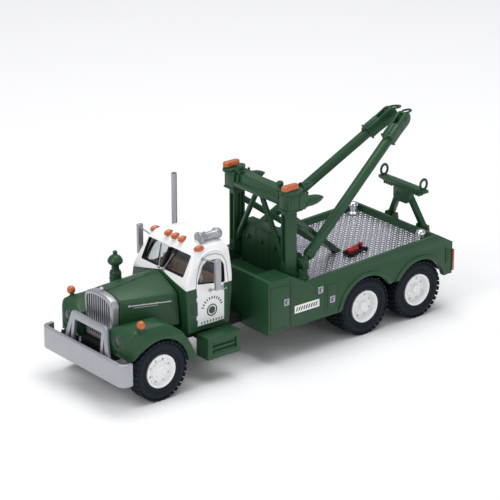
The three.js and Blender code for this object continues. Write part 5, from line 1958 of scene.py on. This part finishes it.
@dataclass
class Booms:
    """Two swinging booms on their swivels."""

    foot: Triple = (9.5, 5.4, 18.8)
    lean: Triple = (-0.2152, 1.0, 0.671)
    length: float = 41.6
    radius: float = 1.12

    def build(self) -> None:
        """Makes both booms and swivels."""
        for side, sign in SIDES.items():
            swivel_body = Body.SWIVEL_LEFT if sign > 0 else Body.SWIVEL_RIGHT
            boom_body = Body.BOOM_LEFT if sign > 0 else Body.BOOM_RIGHT
            self.swivel(side, sign, swivel_body)
            self.boom(side, sign, boom_body)

    def frame_of(self, level: bool) -> Matrix:
        """The left boom's frame, along it or level with the ground.

        Args:
            level: whether the frame stays level.

        Returns:
            The frame.
        """
        lean = Vector(self.lean)
        if level:
            lean.z = 0
        return facing(self.foot, Vector(self.foot) + lean)

    def swivel(self, side: str, sign: int, body: Body) -> None:
        """Turntable with a fork and the tilt pin.

        Args:
            side: "left" or "right".
            sign: 1 on the left and -1 on the right.
            body: body of the frame that it rides on.
        """
        node = f"boom_swivel_{side}"
        at = self.frame_of(True)
        deck = Span.of(node).z[0] - self.foot[2]
        blank = Blank()
        blank.turned([(0, 0), (1.48, 0), (1.5, 0.12), (1.45, 0.45), (1.2, 0.55), (1.1, 0.8), (1.12, 2.0),
                      (0.98, 2.3), (0, 2.35)], Vector(self.foot) + Vector((0, 0, deck)), UP, 40)
        for x in (-0.78, 0.78):
            cheek = [(-0.9, -1.3), (0.9, -1.3), (0.9, 0.1), *arc((0, 0.05), 0.85, 10, 170, 10), (-0.9, 0.1)]
            blank.prism(cheek, Across.X, x - 0.25, x + 0.25, 0.07, at)
        blank.rod((-1.1, 0, 0), (1.1, 0, 0), 0.35, segments=20, at=at)
        for x in (-1.25, 1.03):
            blank.rod((x, 0, 0), (x + 0.22, 0, 0), 0.5, segments=6, soft=0.04, at=at)
        for step in range(6):
            angle = FULL_TURN * step / 6
            spot = Vector(self.foot) + Vector((1.3 * math.cos(angle), 1.3 * math.sin(angle), deck + 0.48))
            blank.ball(spot, (0.12, 0.12, 0.09), 8)
        if sign < 0:
            blank = blank.mirrored()
        blank.piece(f"{node}_fork", body, PAINT_GREEN, [node])

    def boom(self, side: str, sign: int, body: Body) -> None:
        """Boom tube with its eye, sleeve, sheave and cable ring.

        Args:
            side: "left" or "right".
            sign: 1 on the left and -1 on the right.
            body: body of the frame that it rides on.
        """
        node = f"boom_{side}"
        at = self.frame_of(False)
        turn = at.to_3x3()
        across, along = turn @ Vector((1, 0, 0)), turn @ Vector((0, 1, 0))
        end = self.length
        arm = Blank()
        arm.rod((-0.47, 0, 0), (0.47, 0, 0), 0.9, segments=28, soft=0.06, at=at)
        arm.box((-0.47, 0.47), (0.0, 2.4), (-0.8, 0.8), 0.12, at)
        arm.turned([(0, 1.8), (0.95, 1.8), (self.radius, 2.1), (self.radius, end - 3.0), (0, end - 3.0)],
                   at.translation, along, 36)
        arm.turned([(0, 2.6), (1.26, 2.6), (1.26, 3.2), (0, 3.2)], at.translation, along, 36)
        arm.box((-1.2, 1.2), (end - 6.2, end - 2.6), (-1.25, 1.45), 0.16, at)
        arm.box((-1.32, 1.32), (end - 6.4, end - 6.0), (-1.38, 1.6), 0.08, at)
        arm.rod((0, end - 6.6, 1.3), (0, end - 2.9, 1.3), 0.52, segments=20, soft=0.08, at=at)
        arm.ball((0, end - 6.6, 1.3), (0.5, 0.62, 0.5), 16, at)
        for x in (-0.8, 0.8):
            cheek = [(end - 3.7, -1.35), (end - 0.2, -1.5), *arc((end, 0), 1.5, -80, 80, 14),
                     (end - 0.2, 1.5), (end - 3.7, 1.35)]
            arm.prism(cheek, Across.X, x - 0.26, x + 0.26, 0.07, at)
        for x in (-1.18, 1.0):
            arm.rod((x, end, 0), (x + 0.18, end, 0), 0.5, segments=6, soft=0.04, at=at)
            arm.rod((x, end - 2.6, -0.7), (x + 0.18, end - 2.6, -0.7), 0.26, segments=12, at=at)
        sheave = Blank()
        sheave.turned([(0, -0.5), (1.22, -0.5), (1.24, -0.38), (0.96, -0.1), (0.96, 0.1), (1.24, 0.38),
                       (1.22, 0.5), (0, 0.5)], at @ Vector((0, end, 0)), across, 36)
        hook = Blank()
        hook.ring((0, 0, 0), UP, 1.15, 0.24, 32, 10)
        stretch = Matrix.Diagonal((0.66, 1.25, 1, 1))
        tip = Matrix.Translation((0, end + 1.75, 0.45)) @ Matrix.Rotation(math.radians(-33), 4, "X")
        hook.moved(at @ tip @ stretch)
        hook.rod((0, end + 0.2, 0.5), (0, end + 0.9, 0.8), 0.2, segments=12, at=at)
        if sign < 0:
            arm, sheave, hook = arm.mirrored(), sheave.mirrored(), hook.mirrored()
        arm.piece(f"{node}_arm", body, PAINT_GREEN, [node])
        # The sheave is painted in the darkened body green: painted shade between the boom's cheeks.
        sheave.piece(f"{node}_sheave", body, PAINT_GREEN_PAINTED_SHADE)
        hook.piece(f"{node}_ring", body, PAINT_GREEN)


# ---------------------------------------------------------------------------------- tow bar


@dataclass
class TowBar:
    """Folding A-frame on the tail."""

    pin: Pair = (43.4, 16.75)
    foot: float = 5.3
    lean: float = 1.3
    bar: float = 25.2

    def build(self) -> None:
        """Makes the tow bar in one piece, with its pins' heads."""
        y_pin, z_pin = self.pin
        y_top = y_pin - self.lean
        blank = Blank()
        for sign in SIDES.values():
            foot = Vector((sign * self.foot, y_pin, z_pin))
            head = Vector((sign * 1.5, y_pin - self.lean * 0.8, 23.6))
            at = facing(foot, head, Vector((0, 1, 0)))
            blank.channel(at, (head - foot).length, 1.15, 1.2)
            blank.rod(foot - Vector((0.6, 0, 0)), foot + Vector((0.6, 0, 0)), 0.75, segments=28, soft=0.06)
            blank.rod(foot - Vector((1.62, 0, 0)), foot + Vector((1.62, 0, 0)), 0.35, segments=20,
                      soft=0.05)
            for i in range(4):
                x = sign * (3.3 + i * 0.75)
                blank.box((x - 0.14, x + 0.14), (y_top - 0.85, y_top + 0.65),
                          (self.bar - 0.95, self.bar - 0.1),
                          0.05)
            x = sign * 6.4
            ring = Blank()
            ring.ring((0, 0, 0), Vector((1, 0, 0)), 0.95, 0.27, 32, 12)
            ring.moved(Matrix.Translation((x, y_top, self.bar + 1.9)) @ Matrix.Diagonal((1, 1, 1.2, 1)))
            self.take(blank, ring)
            blank.rod((x, y_top, self.bar + 0.4), (x, y_top, self.bar + 0.95), 0.34, segments=16, soft=0.05)
        yoke = [(-2.6, 22.2), (-1.6, 21.4), (1.6, 21.4), (2.6, 22.2), (2.6, self.bar), (-2.6, self.bar)]
        blank.prism(yoke, Across.Y, y_top - 0.75, y_top + 0.75, 0.14)
        blank.rod((-1.3, y_top - 0.95, 23.2), (-1.3, y_top + 0.95, 23.2), 0.32, segments=6, soft=0.04)
        blank.rod((1.3, y_top - 0.95, 23.2), (1.3, y_top + 0.95, 23.2), 0.32, segments=6, soft=0.04)
        cross = [(-7.3, self.bar), (-3.4, self.bar - 0.55), (3.4, self.bar - 0.55), (7.3, self.bar),
                 (7.3, self.bar + 0.7), (3.4, self.bar + 0.8), (-3.4, self.bar + 0.8),
                 (-7.3, self.bar + 0.7)]
        blank.prism(cross, Across.Y, y_top - 1.0, y_top + 0.8, 0.14)
        blank.piece("tow_bar_frame", Body.TOW_BAR, PAINT_GREEN, ["tow_bar"])

    @staticmethod
    def take(blank: Blank, other: Blank) -> None:
        """Adds another shape's faces to a blank.

        Args:
            blank: shape that is worked on.
            other: shape that is added, and used up.
        """
        mesh = bpy.data.meshes.new("work")
        other.bm.to_mesh(mesh)
        other.bm.free()
        blank.bm.from_mesh(mesh)
        bpy.data.meshes.remove(mesh)


# ---------------------------------------------------------------------------------- the whole truck


def main() -> None:
    """Builds the studio and the truck, in order."""
    logging.basicConfig(level=logging.INFO, format="%(message)s")
    Studio().build()
    for assembly in (RunningGear(), FrontEnd(), Cab(), WreckerBody(), Mast(), Booms(), TowBar()):
        LOG.info("building %s", type(assembly).__name__)
        assembly.build()


if __name__ == "__main__":
    main()
